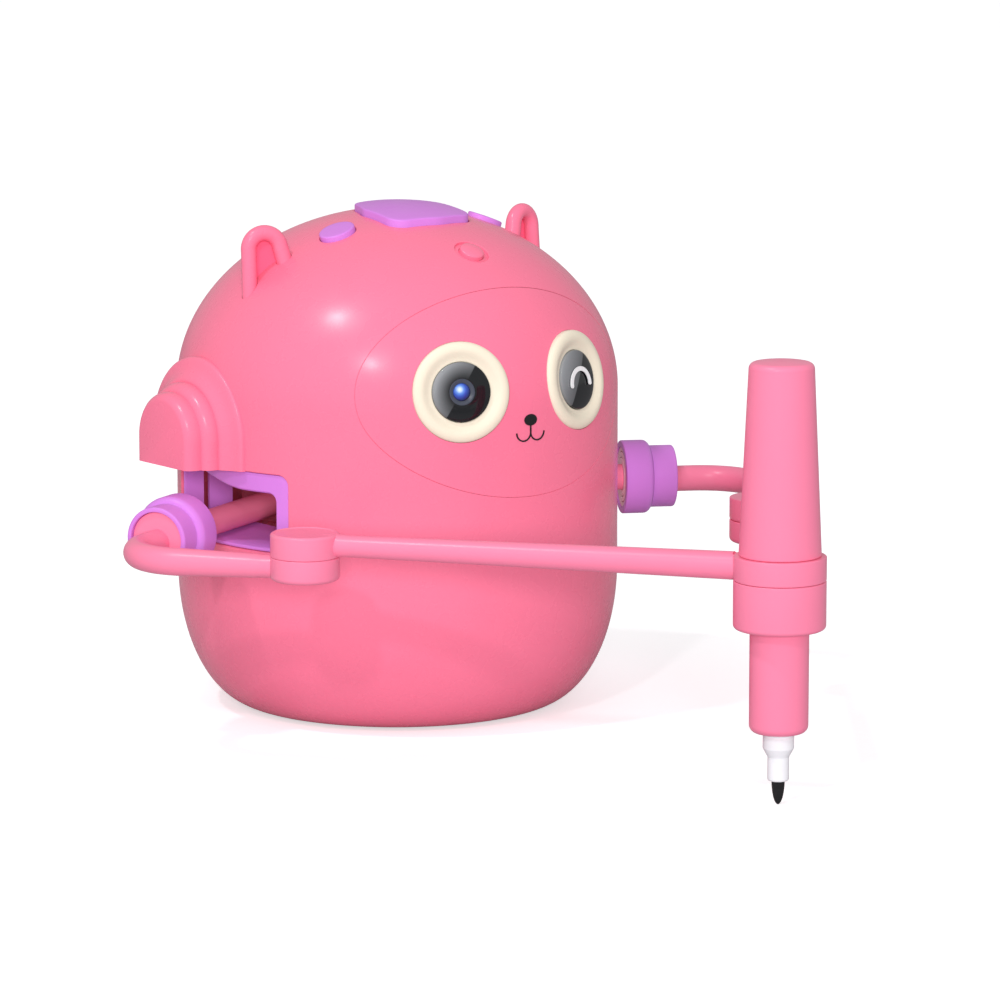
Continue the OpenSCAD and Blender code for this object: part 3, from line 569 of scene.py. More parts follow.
EYE_TURN, EYE_TILT, EYE_X, EYE_Z, EYE_R = 20, 8.3, 21.8, 108.6, 67.3
eye_place = {
    side: Matrix.Translation((side * EYE_X, -EYE_R * cos(radians(EYE_TURN)), EYE_Z))
    @ Matrix.Rotation(radians(side * EYE_TURN), 4, "Z") @ Matrix.Rotation(radians(90 - EYE_TILT), 4, "X")
    for side in (-1, 1)}
RING_R, DISC_R = 15.5, 9.2

EAR_AT, EAR_YAW, EAR_LEAN, EAR_NOD = (50.2, 0.7, 148.4), 18, 8, -4
ear_place = {
    side: Matrix.Scale(side, 4, (1, 0, 0)) @ Matrix.Translation(EAR_AT)
    @ Matrix.Rotation(radians(EAR_YAW), 4, "Z") @ Matrix.Rotation(radians(EAR_LEAN), 4, "Y")
    @ Matrix.Rotation(radians(EAR_NOD), 4, "X")
    for side in (-1, 1)}
EAR_BOW, EAR_TUBE, EAR_FLARE = 5.1, 2.4, tan(radians(8))


def ear_path(side):
    """Middle line of an ear's tube, from its outer foot over the bow to its inner foot."""
    local = [(EAR_BOW - z * EAR_FLARE, 0, z) for z in (-21, -16, -12, -8, -4, -1.5)]
    local += [(EAR_BOW * cos(a), 0, EAR_BOW * sin(a)) for a in [pi * k / 24 for k in range(25)]]
    local += [(z * EAR_FLARE - EAR_BOW, 0, z) for z in (-1.5, -4, -7, -10, -13)]
    return [ear_place[side] @ Vector(p) for p in local]


def ear_radii(grow):
    """Radii along the tube, which swells a little towards its inner foot."""
    count = len(ear_path(1))
    half = count // 2 - 2
    return [EAR_TUBE + grow + 0.2 * max(0, (i - half) / (count - 1 - half)) ** 1.5 for i in range(count)]


def cylinder_cutter(place, r, lo, hi, n=48):
    return build("cutter", revolve([(0, lo), (r, lo), (r, hi), (0, hi)], place, n))


shell_section = egg_section(0, UNDERSIDE_R) + egg_section(-WALL, UNDERSIDE_R)[::-1]
shell = build("shell_skin", revolve(shell_section, n=288, closed=True))
cut(
    shell,
    opening(face_outline, facing(-1), lead=0.1),
    opening(rear_outline, facing(1)),
    *(opening(slot_outline, sideways(side), lead=0.5, depth=9) for side in (-1, 1)),
    opening(paw_outline, paw_lift, gap=0.3, lead=0.3),
    *(opening(toe_outline, toe_lift[side], gap=0.25, lead=0.3) for side in (-1, 1)),
    opening(ellipse_outline(BUMP_DISH_R, BUMP_DISH_R, 72), forehead_lift, depth=0.8, lead=0.35),
    cylinder_cutter(forehead, BUMP_HOLE_R, -8, 2),
    *(build("cutter", sweep(ear_path(side), ear_radii(0.12))) for side in (-1, 1)),
)
piece(shell, "pink_shell", nodes=("body_shell",))
egg_shading(shell)

face = build("face_plate", pad(face_outline, facing(-1), [
    (FACE_SEAM, -WALL), (FACE_SEAM, -0.15), (FACE_SEAM + 0.04, -0.04), (FACE_SEAM + 0.15, 0)], steps=40))
cut(face, *(cylinder_cutter(eye_place[s], RING_R + 0.08, -14, 14, 96) for s in (-1, 1)))
piece(face, "pink_shell", nodes=("face_panel",))
egg_shading(face)

rear = build("back_cover", pad(rear_outline, facing(1), [
    (SEAM, -1.8), (SEAM, -0.25), (SEAM + 0.06, -0.06), (SEAM + 0.22, 0)], steps=30))
# (count, radius) of the speaker grille's rings of holes, and (middle, half width) of the windows
GRILLE_Z, GRILLE_RINGS, GRILLE_HOLE_R = 99.0, ((1, 0), (6, 3), (12, 6)), 0.8
REAR_WINDOWS = ((-10.0, 4.7), (10.0, 4.2))
# directions of the screws from the middle of the rear cover, and their distance from its edge
REAR_SCREWS, SCREW_EDGE = (40, 140, 220, 320), 3
socket_z = middle("charging_socket").z
holes = []
to_rear = Matrix.Rotation(radians(-90), 4, "X")
for count, r in GRILLE_RINGS:
    for a in ring_angles(count):
        at = Matrix.Translation((r * cos(a), 60, GRILLE_Z + r * sin(a))) @ to_rear
        holes.append(cylinder_cutter(at, GRILLE_HOLE_R, -8, 20, 24))
for x, half in REAR_WINDOWS:
    corners = [(x + sx * (half - 1), socket_z + sz * 0.8, 1) for sx in (-1, 1) for sz in (-1, 1)]
    holes.append(opening(hull_outline(corners, 64), facing(1), depth=5, lead=0.3))
screw_places = []
for a in REAR_SCREWS:
    x = (REAR_HALF_W - SCREW_EDGE) * cos(radians(a))
    spot = facing(1)(x, REAR_Z + (REAR_HALF_H - SCREW_EDGE) * sin(radians(a)), 0)
    at = Matrix.Translation(spot) @ Matrix.Rotation(-atan2(x, spot.y), 4, "Z") @ to_rear
    screw_places.append(at)
    holes.append(cylinder_cutter(at, 2.1, -1.3, 6, 40))
    holes.append(cylinder_cutter(at, 1.25, -6, 2, 32))
cut(rear, *holes)
piece(rear, "pink_shell", nodes=("rear_cover",))
egg_shading(rear)


def screw(name, place, head_r, head_h, shank_r, length):
    """Round-headed screw with a cross recess; Z points out of its head."""
    section = soften([
        (0, -length, 0), (shank_r * 0.5, -length, 0), (shank_r, -length + 0.7, 0.2), (shank_r, 0, 0),
        (head_r, 0, 0.1), (head_r, head_h, head_h * 0.6), (0, head_h, 0)])
    made = build(name, revolve(section, place, 40))
    reach = head_r * 0.62
    for turn in (20, 110):
        bar = build("cutter", block((-reach, -0.22, head_h * 0.35), (reach, 0.22, head_h + 1)))
        cut(made, moved(bar, place @ Matrix.Rotation(radians(turn), 4, "Z")))
    return made


screws = [screw("screw_rear_%d" % k, at @ Matrix.Translation((0, 0, -1.3)), 1.9, 0.9, 1.1, 4)
          for k, at in enumerate(screw_places)]
BASE_SCREW = Matrix.Translation((39, 0, 2.0)) @ Matrix.Rotation(pi, 4, "X")
for k in range(4):
    spot = Matrix.Rotation(radians(45 + 90 * k), 4, "Z") @ BASE_SCREW
    screws.append(screw("screw_base_%d" % k, spot, 2.4, 1, 1.3, 5.5))
for made in screws:
    piece(made, "steel", nodes=("case_screws",))

# ---- hoods over the shoulders ----

HOOD_Y, HOOD_Z = 10.2, 90.3
# (radius, distance from the middle of the body) of each ridge, from the body outwards
HOOD_RIDGES = [
    (24.8, 58), (24.8, 69.0), (24.7, 69.4), (24.4, 69.8), (23.8, 70.1), (22.7, 70.5), (21.4, 71.0),
    (20.3, 71.7), (19.4, 72.4), (18.8, 72.9), (18.2, 73.25), (17.7, 73.4), (17.3, 73.4),
    (17.4, 74.4), (17.2, 75.5), (16.8, 76.4), (16.2, 77.1), (15.6, 77.55), (15.1, 77.8), (14.7, 77.9),
    (14.8, 78.9), (14.7, 79.9), (14.45, 80.9), (14.0, 81.7), (13.4, 82.3), (12.8, 82.75), (12.2, 82.9)]
# the room inside for the arm: half its length, its height and how far out it goes
HOOD_ROOM, HOOD_ROOM_H, HOOD_ROOM_X = 9, 9.5, 81.3


def hood_loop(r, x, side):
    """One ridge line: up the front, over the arch, down the back and along the flat underside."""
    y0, z0 = HOOD_Y, slot_hi
    points = [(y0 - r, z0 + (HOOD_Z - z0) * k / 4) for k in range(4)]
    points += [(y0 - r * cos(a), HOOD_Z + r * sin(a)) for a in [pi * k / 48 for k in range(49)]]
    points += [(y0 + r, HOOD_Z + (z0 - HOOD_Z) * k / 4) for k in range(1, 5)]
    points += [(y0 + r - 2 * r * k / 6, z0) for k in range(1, 6)]
    return [Vector((side * x, y, z)) for y, z in points]


for word, side in SIDES.items():
    hood = build("hood_" + word, loft([hood_loop(r, x, side) for r, x in HOOD_RIDGES], caps=True))
    solid_egg = build("cutter", revolve(egg_section(-0.4, 0), n=192))
    x0, x1 = sorted((side * 60, side * HOOD_ROOM_X))
    hollow = build("cutter", block(
        (x0, HOOD_Y - HOOD_ROOM, slot_hi - 2), (x1, HOOD_Y + HOOD_ROOM, slot_hi + HOOD_ROOM_H)))
    cut(hood, solid_egg, hollow)
    piece(hood, "pink_shell", nodes=(word + "_hood",), sharp=38)

# ---- ears ----

WEB_BACK, WEB_DISH, WEB_T = 0.9, 1.5, 1.1


def web_loop(share, behind):
    """One ring of the web in an ear, which is set back in the bow and dished towards its middle."""
    y = WEB_BACK + WEB_DISH * (1 - share ** 2) + behind
    bow = [(EAR_BOW * share * cos(a), y, EAR_BOW * share * sin(a)) for a in [pi * k / 32 for k in range(33)]]
    legs = [(-(EAR_BOW + z * EAR_FLARE) * share, y, -z) for z in (4, 9, 14)]
    return bow + legs + [(-x, y, z) for x, y, z in reversed(legs)]


for word, side in SIDES.items():
    ear = build("ear_" + word, sweep(ear_path(side), ear_radii(0)))
    piece(ear, "pink_shell", nodes=(word + "_ear",), sharp=50)
    shares = (1, 0.8, 0.6, 0.4, 0.2, 0.0)
    loops = [web_loop(share, WEB_T) for share in reversed(shares)] + [web_loop(share, 0) for share in shares]
    web = build("ear_web_" + word, loft([[ear_place[side] @ Vector(p) for p in loop] for loop in loops]))
    piece(web, WEB_PINK, nodes=(word + "_ear",), slot="pink_shell")

# ---- eyes ----

# ring: width of its raised rim, height of its bed round the glass, and the rim's foot and rise
CREST, BED, RIM_LO, RIM_H = 2.4, 0.95, 0.4, 1.7
BED_FALL = (RIM_LO + RIM_H - BED) / 2
ring_section = [(DISC_R + 0.1, -4), (RING_R, -4)]
ring_section += [(RING_R - CREST + CREST * cos(radians(a)), RIM_LO + RIM_H * sin(radians(a)))
                 for a in range(0, 91, 6)]
slope = RING_R - CREST - DISC_R - 0.4
ring_section += [(RING_R - CREST - slope * k / 16, BED + BED_FALL * (1 + cos(pi * k / 16)))
                 for k in range(1, 17)]
ring_section += [(DISC_R + 0.22, BED - 0.05), (DISC_R + 0.1, BED - 0.2)]
GLASS_LO, GLASS_H = 1.5, 0.9
LENS_R, IRIS_R = 4.1, 2.75


def dome_arc(r, lo, h, first, last, step):
    """Section of a shallow dome between two directions."""
    return [(r * cos(radians(a)), lo + h * sin(radians(a))) for a in range(first, last + 1, step)]


glass_section = [(0, -3), (DISC_R, -3), (DISC_R, GLASS_LO)] + dome_arc(DISC_R, GLASS_LO, GLASS_H, 6, 90, 6)


def eye_glass_painted_reflection(name, side):
    """Black glass with a painted reflection: one paler half, split by a slanted line, that darkens towards
    the middle.
    """
    slant_angle = radians(148)
    made = Finish(name, 0.06)
    centre = eye_place[side].translation * MM
    turned = eye_place[side].to_3x3()
    across = (turned @ Vector((cos(slant_angle), sin(slant_angle), 0))).normalized()
    from_centre = made.vector("SUBTRACT", made.where, centre)
    slant = made.vector("DOT_PRODUCT", from_centre, across)
    # painted reflection: paler on one side of the slanted line
    share = made.spread(slant, 0, 1, 0.0002, 0.0005)
    painted_reflection = made.product(share, made.spread(slant, 0.3, 1, 0.0, 0.0095))
    if side < 0:
        # the painted reflection fades out round the lens, leaving a dark well
        away = made.vector("LENGTH", from_centre, (0, 0, 0))
        painted_reflection = made.product(painted_reflection, made.spread(away, 0.05, 1, 0.0048, 0.0086))
    made.colour(made.mix(painted_reflection, linear((20, 22, 25)), linear((150, 153, 157))))
    made.gloss(made.spread(made.noise(400), 0.05, 0.08))
    made.surface((made.noise(120), 0.001))
    return made.material


for word, side in SIDES.items():
    ring = build("eye_ring_" + word, revolve(ring_section, eye_place[side], 128, closed=True))
    piece(ring, "cream_ring", nodes=(word + "_eye_ring",), sharp=50)

# glass of both eyes, with the painted reflection in its colour
wink = build("eye_glass_left", revolve(glass_section, eye_place[1], 128))
piece(wink, eye_glass_painted_reflection("black_gloss_painted_reflection_left", 1), nodes=("wink_disc",), slot="black_gloss")

window_section = [(LENS_R, -3), (DISC_R, -3), (DISC_R, GLASS_LO)]
window_section += dome_arc(DISC_R, GLASS_LO, GLASS_H, 6, 60, 6)
window_section += [(LENS_R + 0.15, GLASS_LO + 0.85), (LENS_R, GLASS_LO + 0.75)]
window = build("eye_glass_right", revolve(window_section, eye_place[-1], 128, closed=True))
piece(window, eye_glass_painted_reflection("black_gloss_painted_reflection_right", -1), nodes=("camera_window",), slot="black_gloss")

collar = build("lens_collar", revolve(
    [(IRIS_R, -2), (LENS_R - 0.03, -2), (LENS_R - 0.03, 2.05), (3.7, 2.1), (3.2, 1.8), (IRIS_R, 1.6)],
    eye_place[-1], 96, closed=True))
piece(collar, plastic("lens_collar", (70, 75, 88), rough=0.34), nodes=("camera_lens",), slot="lens")


def iris_painted_glint():
    """Coated lens with a painted glint: pale on its upper left, shading off to deep blue away from it."""
    made = Finish("lens_glass_painted_glint", 0.04, coat=0.5)
    # centre of the painted glint
    painted_glint = eye_place[-1] @ Vector((-0.8, 0.8, 2.2))
    spot = made.vector("LENGTH", made.vector("SUBTRACT", made.where, painted_glint * MM), (0, 0, 0))
    ramp = made.nodes.new("ShaderNodeValToRGB")
    made.links.new(made.spread(spot, 0, 1, 0.0, 0.0036), ramp.inputs["Fac"])
    stops = ramp.color_ramp.elements
    stops[0].position, stops[0].color = 0.0, linear((240, 247, 255))
    stops[1].position, stops[1].color = 1.0, linear((16, 22, 62))
    middle_stops = (
        (0.16, (196, 220, 252)), (0.34, (96, 140, 224)), (0.55, (50, 82, 186)), (0.8, (30, 48, 128)))
    for position, colour in middle_stops:
        stop = stops.new(position)
        stop.color = linear(colour)
    made.colour(ramp.outputs["Color"])
    made.gloss(made.spread(made.noise(500), 0.03, 0.06))
    made.surface((made.noise(200), 0.001))
    return made.material


iris_r, IRIS_LO = IRIS_R - 0.03, 1.6
iris = build("lens_iris", revolve(
    [(0, -2), (iris_r, -2), (iris_r, IRIS_LO)] + dome_arc(iris_r, IRIS_LO, GLASS_H, 10, 90, 10),
    eye_place[-1], 96))
piece(iris, iris_painted_glint(), nodes=("camera_lens",), slot="lens")

# ---- buttons ----

# (inset, height over the dome) up the rounded rims of the pads
PAW_RIM = [(0, -5), (0, 1.6), (0.04, 1.8), (0.15, 1.96), (0.32, 2.06), (0.55, 2.1)]
paw = build("paw_pad", pad(paw_outline, paw_lift, PAW_RIM, steps=16))
piece(paw, "purple_trim", "main_button", ("main_button",), sharp=60)
TOE_RIM = [(0, -5), (0, 1.05), (0.04, 1.22), (0.15, 1.37), (0.32, 1.46), (0.55, 1.5)]
for word, side in SIDES.items():
    toe = build("toe_pad_" + word, pad(toe_outline, toe_lift[side], TOE_RIM, steps=10))
    piece(toe, "purple_trim", word + "_toe_button", (word + "_toe_button",), sharp=60)
dome_section = [(0, -6), (5, -6), (5, -4.4), (BUMP_R, -4.4), (BUMP_R, 0.2)]
bump = build("forehead_dome", revolve(dome_section + dome_arc(BUMP_R, 0.2, 1, 6, 90, 6), forehead, 96))
piece(bump, "pink_shell", "forehead_button", ("forehead_button",), sharp=60)

# ---- slot bezels and what shows behind them ----

# widths of the bezel at its floor, front, rear, and at its head in front and behind
BEZEL_DEPTH, BEZEL_FLOOR, BEZEL_FRONT, BEZEL_REAR, BEZEL_HEAD, BEZEL_REAR_HEAD = 7.5, 1.4, 5.0, 1.5, 6.2, 1.6
SHELF_IN, SHELF_OUT, SHELF_SILL, SHELF_FRONT = 42.0, 58.0, 62.5, -24.0
GUIDE_Y, GUIDE_T, GUIDE_TOP, GUIDE_OUT = 31.4, 1.4, 90.0, 50.8
shelf_z, shelf_top = slot_lo + SEAM, slot_lo + BEZEL_FLOOR - 0.03


def bezel_hole():
    """Outline of the bezel's opening: its head rises in a curve towards the back."""
    front, back = slot_front + BEZEL_FRONT, slot_rear - BEZEL_REAR
    low, high, rear_high = slot_lo + BEZEL_FLOOR, slot_hi - BEZEL_HEAD, slot_hi - BEZEL_REAR_HEAD
    points = [(front, low), (back, low), (back, rear_high)]
    rise, start = rear_high - high, front + 12
    for k in range(16, -1, -1):
        share = k / 16
        points.append((start + (back - 8 - start) * share, high + rise * share * share * (3 - 2 * share)))
    corner = 2.4
    points += [(front + corner - corner * sin(radians(a)), high - corner + corner * cos(radians(a)))
               for a in range(0, 91, 15)]
    return inset_outline(resample(points, 160))


for word, side in SIDES.items():
    bezel = build("bezel_" + word, pad(slot_outline, sideways(side), [
        (SEAM, -BEZEL_DEPTH), (SEAM, -1.2), (SEAM + 0.1, -0.9), (SEAM + 0.35, -0.8)], steps=14))
    hole = build("cutter", pad(bezel_hole(), sideways(side), [
        (0, -14), (0, -1.7), (-0.25, -1.1), (-0.7, -0.78), (-0.8, 3)], steps=4))
    cut(bezel, hole)
    piece(bezel, "purple_trim", nodes=(word + "_slot_bezel",), sharp=30)
    # floor that reaches into the casing, with a guide wall at its rear end
    guide_end = GUIDE_Y + GUIDE_T
    plan = [(SHELF_IN, SHELF_FRONT), (SHELF_SILL, SHELF_FRONT), (SHELF_SILL, slot_rear - SEAM),
            (SHELF_OUT, slot_rear - SEAM), (SHELF_OUT, guide_end), (SHELF_IN, guide_end)]
    levels = [[(side * x, y, z) for x, y in plan] for z in (shelf_z, shelf_top)]
    shelf = build("slot_floor_" + word, loft(levels, caps=True))
    piece(shelf, "purple_trim", nodes=(word + "_slot_bezel",))
    inner_x, outer_x = sorted((side * SHELF_IN, side * GUIDE_OUT))
    guide = build("slot_guide_" + word, block((inner_x, GUIDE_Y, shelf_top), (outer_x, guide_end, GUIDE_TOP)))
    piece(bevelled(guide, 0.3), "purple_trim", nodes=(word + "_slot_bezel",), sharp=40)

# ---- arms ----

shoulder_y = middle("left_drive_shaft").y
CUFF_RISE = 1.0
arm_z = middle("left_cuff").z - CUFF_RISE
elbow_x, elbow_y = middle("left_elbow_pin").x, middle("left_elbow_pin").y
pen_y = middle("pen_sleeve").y
ARM_LEAD, ARM_STRAIGHT, BEND_R = radians(27.7), 121.0, 18.0
ROD_R, ROD_END_R, ELBOW_R, DISC_H, RING_OUT = 4.2, 3.4, 10.4, 7.2, 13.6
HUB_R, HUB_H, HUB_GAP, SHAFT_R, PIN_R = 10.0, 7.05, 0.15, 3.0, 2.5
CUFF_AT, CUFF_BIG_H, CUFF_SMALL_H, CUFF_BIG_R, CUFF_SMALL_R = 96.8, 9.3, 8.0, 12.0, 10.1
CUFF_BORE_R, CUFF_BORE_H = 9.8, 6
ROD_SPLIT = CUFF_AT + 7
PLUG_AT = CUFF_AT + CUFF_BIG_H + 0.3
# gap between stacked faces, and radial clearance of the turning fits
FACE_GAP, CLEARANCE = 0.1, 0.06
SLEEVE_R = 8.7

lead = Vector((cos(ARM_LEAD), -sin(ARM_LEAD), 0))
back_of_lead = Vector((-sin(ARM_LEAD), -cos(ARM_LEAD), 0))
shoulder = Vector((0, shoulder_y, arm_z))
cuff_axis = shoulder + Vector((0, 0, CUFF_RISE))
bend_centre = shoulder + lead * ARM_STRAIGHT + back_of_lead * BEND_R
elbow = Vector((elbow_x, elbow_y, arm_z))
to_elbow = elbow - bend_centre
bend_end = atan2(to_elbow.y, to_elbow.x)
bend_end += pi / 2 - atan2(BEND_R, sqrt(to_elbow.length ** 2 - BEND_R ** 2))
bend_start = pi / 2 - ARM_LEAD
bend_out = bend_centre + Vector((cos(bend_end), sin(bend_end), 0)) * BEND_R


def disc(r, lo, hi, soft_lo, soft_hi, place, dish=0.0):
    """Disc with rounded rims and, if asked, a shallow dish in its top."""
    top = [(r, hi, soft_hi)]
    if dish:
        top += [(r - 1.1, hi, 0.15), (r - 1.35, hi - dish, 0.1)]
    section = soften([(0, lo, 0), (r, lo, soft_lo)] + top + [(0, top[-1][1], 0)])
    return build("disc", revolve(section, place, 96))


def straight(start, end, r0, r1, steps):
    """Points and radii of a tapered rod."""
    shares = [k / steps for k in range(steps + 1)]
    return [start.lerp(end, t) for t in shares], [r0 + (r1 - r0) * t for t in shares]


def flared(points, radii, centre, reach, swell, room):
    """The radii of a rod that swells over the last reach before an elbow disc, within its faces."""
    out = []
    for p, r in zip(points, radii):
        gap = max(0, (p - centre).length - ELBOW_R)
        out.append(min(r + swell * (1 - gap / reach) ** 2, DISC_H / 2 - room) if gap < reach else r)
    return out


# (inner, outer) radii of the rings that show in the open back of a cuff
LINER_RINGS = ((4.3, 6.3), (6.6, 8.1), (8.4, 9.75))
LINER_DEPTH, LINER_BACK = 4.5, 5.9
pen_axis = Matrix.Translation((0, pen_y, 0))
LAP = {"right": -1, "left": 1}
for word, side in SIDES.items():
    lap = LAP[word]
    arm_body = word + "_upper_arm"
    hub_lo = -HUB_GAP - HUB_H if lap < 0 else HUB_GAP
    at_shoulder = Matrix.Translation(shoulder)

    # hub and inner rod, with the shaft's blind hole
    inner = disc(HUB_R, hub_lo, hub_lo + HUB_H, 0.5, 0.5, at_shoulder)
    inner.name = "arm_rod_" + word
    turn = Matrix.Translation(shoulder) @ Matrix.Rotation(-ARM_LEAD, 4, "Z")
    web = moved(build("part", block((5, -3.5, hub_lo + 0.4), (16, 3.5, hub_lo + HUB_H - 0.4))), turn)
    rod = build("part", sweep([cuff_axis + lead * d for d in (12, 30, 55, 80, ROD_SPLIT)], [ROD_R] * 5, 48))
    unite(inner, web, rod)
    hole_lo = 40 - arm_z if lap < 0 else 64.7 - arm_z
    cut(inner, cylinder_cutter(at_shoulder, SHAFT_R, hole_lo, hole_lo + 21.5))
    piece(on_side(inner, side), "pink_arm", arm_body, (word + "_inner_arm",), sharp=35)

    # rings that show in the open back of the cuff
    along = Matrix.Translation(cuff_axis + lead * CUFF_AT) @ lead.to_track_quat("Z", "X").to_matrix().to_4x4()
    liner_section = []
    for k, (r_in, r_out) in enumerate(LINER_RINGS):
        h = 0.15 + 0.1 * k
        liner_section += [(r_in, LINER_DEPTH), (r_in, h + 0.15), (r_in + 0.15, h)]
        liner_section += [(r_out - 0.15, h), (r_out, h + 0.15), (r_out, LINER_DEPTH)]
    liner_section += [(LINER_RINGS[-1][1], LINER_BACK), (LINER_RINGS[0][0], LINER_BACK)]
    liner = build("cuff_liner_" + word, revolve(liner_section, along, 96, closed=True))
    # dark sheet of painted shade on the floor of the grooves between the rings
    groove_shade = build("cuff_groove_painted_shade_" + word, revolve(
        [(4.4, 0.9), (9.7, 0.9), (9.7, 1.05), (4.4, 1.05)], along, 96, closed=True))
    for thing, finish in ((liner, PALE_PINK), (groove_shade, PAINTED_SHADE_PINK)):
        piece(on_side(thing, side), finish, arm_body, (word + "_inner_arm",), slot="pink_arm")

    # bent outer rod with its elbow disc and the plug in the cuff
    plug_end = PLUG_AT + 1
    path = [shoulder + lead * (plug_end + (ARM_STRAIGHT - plug_end) * k / 4) for k in range(5)]
    for k in range(1, 20):
        a = bend_start + (bend_end - bend_start) * k / 20
        path.append(bend_centre + Vector((cos(a), sin(a), 0)) * BEND_R)
    near_elbow = elbow.lerp(bend_out, 5 / (elbow - bend_out).length)
    rest, radii = straight(bend_out, near_elbow, ROD_R, ROD_END_R, 24)
    radii = [ROD_R] * len(path) + flared(rest, radii, elbow, 3.5, 0.9, 0.12)
    outer = build("arm_bend_" + word, sweep(path + rest, radii, 48))
    plug_r, plug_h = CUFF_SMALL_R - 1.55, CUFF_SMALL_H - 1.3
    plug_section = soften([(0, 0, 0), (plug_r, 0, 0), (plug_r, plug_h, 0.5), (0, plug_h, 0)])
    plug = build("part", revolve(plug_section, along @ Matrix.Translation((0, 0, CUFF_BIG_H + 0.3)), 96))
    stub = build("part", sweep([cuff_axis + lead * d for d in (ROD_SPLIT + 0.05, plug_end)], [ROD_R] * 2, 48))
    hub = disc(ELBOW_R, -DISC_H / 2, DISC_H / 2, 0.9 if lap > 0 else 1.5, 0.35, Matrix.Translation(elbow))
    unite(outer, plug, hub, stub)
    cut(outer, cylinder_cutter(Matrix.Translation(elbow), PIN_R, -DISC_H, DISC_H))
    piece(on_side(outer, side), "pink_arm", arm_body, (word + "_outer_arm",), sharp=35)

    # cuff
    cuff_h = CUFF_BIG_H + CUFF_SMALL_H
    section = soften([
        (CUFF_BORE_R, 0, 0.15), (CUFF_BIG_R, 0, 0.5), (CUFF_BIG_R, CUFF_BIG_H, 2.3),
        (CUFF_SMALL_R, CUFF_BIG_H, 0.15), (CUFF_SMALL_R, cuff_h, 0.7), (CUFF_SMALL_R - 1.5, cuff_h, 0.3),
        (CUFF_SMALL_R - 1.5, CUFF_BIG_H, 0), (ROD_R + 0.05, CUFF_BIG_H, 0),
        (ROD_R + 0.05, CUFF_BORE_H, 0), (CUFF_BORE_R, CUFF_BORE_H, 0)], 6)
    cuff = build("cuff_shell_" + word, revolve(section, along, 128, closed=True))
    piece(on_side(cuff, side), "purple_trim", arm_body, (word + "_cuff",), sharp=40)

    # forearm: elbow disc, tapered rod and the ring round the pen sleeve
    rod_z = arm_z + DISC_H * (1 if side < 0 else -1)
    fore_elbow = Vector((elbow_x, elbow_y, rod_z))
    pen = Vector((0, pen_y, rod_z))
    reach = (pen - fore_elbow).normalized()
    ring_lo, ring_hi, soft_ring = (
        (arm_z + DISC_H / 2 + FACE_GAP / 2, arm_z + 1.5 * DISC_H, 0.4) if side < 0 else
        (arm_z - 1.5 * DISC_H, arm_z + DISC_H / 2 - FACE_GAP / 2, 1.3))
    half = DISC_H / 2 - FACE_GAP / 2
    fore = disc(ELBOW_R, -half, half, 0.35 if side < 0 else 1.6, 0.9 if side < 0 else 0.35,
                Matrix.Translation(fore_elbow), dish=0.25 if side < 0 else 0.0)
    fore.name = "forearm_link_" + word
    points, radii = straight(fore_elbow + reach * 6, pen - reach * 11, ROD_END_R - 0.2, ROD_R, 60)
    radii = flared(points, radii, fore_elbow, 3, 0.8, 0.15)
    # the rod is trimmed level with the pieces above and below its ring
    fore_rod = cut(build("part", sweep(points, radii, 48)),
                   cylinder_cutter(pen_axis, RING_OUT + 0.2, ring_hi - 0.05, ring_hi + 6, 96),
                   cylinder_cutter(pen_axis, RING_OUT + 0.2, ring_lo - 6, ring_lo + 0.05, 96))
    ring_section = soften([(SLEEVE_R - 1, ring_lo, 0), (RING_OUT, ring_lo, soft_ring),
                           (RING_OUT, ring_hi, 0.35), (SLEEVE_R - 1, ring_hi, 0)])
    unite(fore, fore_rod, build("part", revolve(ring_section, pen_axis, 128, closed=True)))
    pin_h = DISC_H * 1.5 - 0.9
    cut(fore, cylinder_cutter(Matrix.Translation(elbow), PIN_R + CLEARANCE, -pin_h, pin_h),
        cylinder_cutter(Matrix.Translation((0, pen_y, arm_z)), SLEEVE_R + CLEARANCE, -30, 30, 128))
    piece(on_side(fore, side), "pink_arm", word + "_forearm", (word + "_forearm",), sharp=35)

# ---- pen ----

sleeve_lo, sleeve_top = mm_box("pen_sleeve")[0].z, mm_box("pen_sleeve")[1].z
cap_lo, cap_top = mm_box("pen_cap")[0].z, mm_box("pen_cap")[1].z
tip_top = mm_box("marker_tip")[1].z
MARKER_R, MOUTH_R, CAP_LO_R, CAP_HI_R = 5.8, 4.75, 12.1, 9.4

sleeve_section = soften([
    (MOUTH_R, sleeve_lo, 0.3), (SLEEVE_R, sleeve_lo, 2.4), (SLEEVE_R, sleeve_top, 0.2),
    (MARKER_R + 0.05, sleeve_top, 0), (MARKER_R + 0.05, sleeve_lo + 3, 0), (MOUTH_R, sleeve_lo + 3, 0)], 8)
sleeve = build("pen_tube", revolve(sleeve_section, pen_axis, 128, closed=True))
piece(sleeve, "pink_arm", "pen_unit", ("pen_sleeve",), sharp=40)

cap_section = soften([
    (SLEEVE_R + 0.05, cap_lo, 0), (CAP_LO_R, cap_lo, 0.35),
    (CAP_HI_R + 0.12, cap_top - 1.1, 1.9), (0, cap_top, 0)], 8)
cap_section += [(0, cap_top - 5), (MARKER_R + 0.7, cap_top - 5), (MARKER_R + 0.7, sleeve_top + 0.2),
                (SLEEVE_R + 0.05, sleeve_top + 0.2)]
cap = build("pen_lid", revolve(cap_section, pen_axis, 128, closed=True))
piece(cap, "pink_arm", "pen_unit", ("pen_cap",), sharp=40)

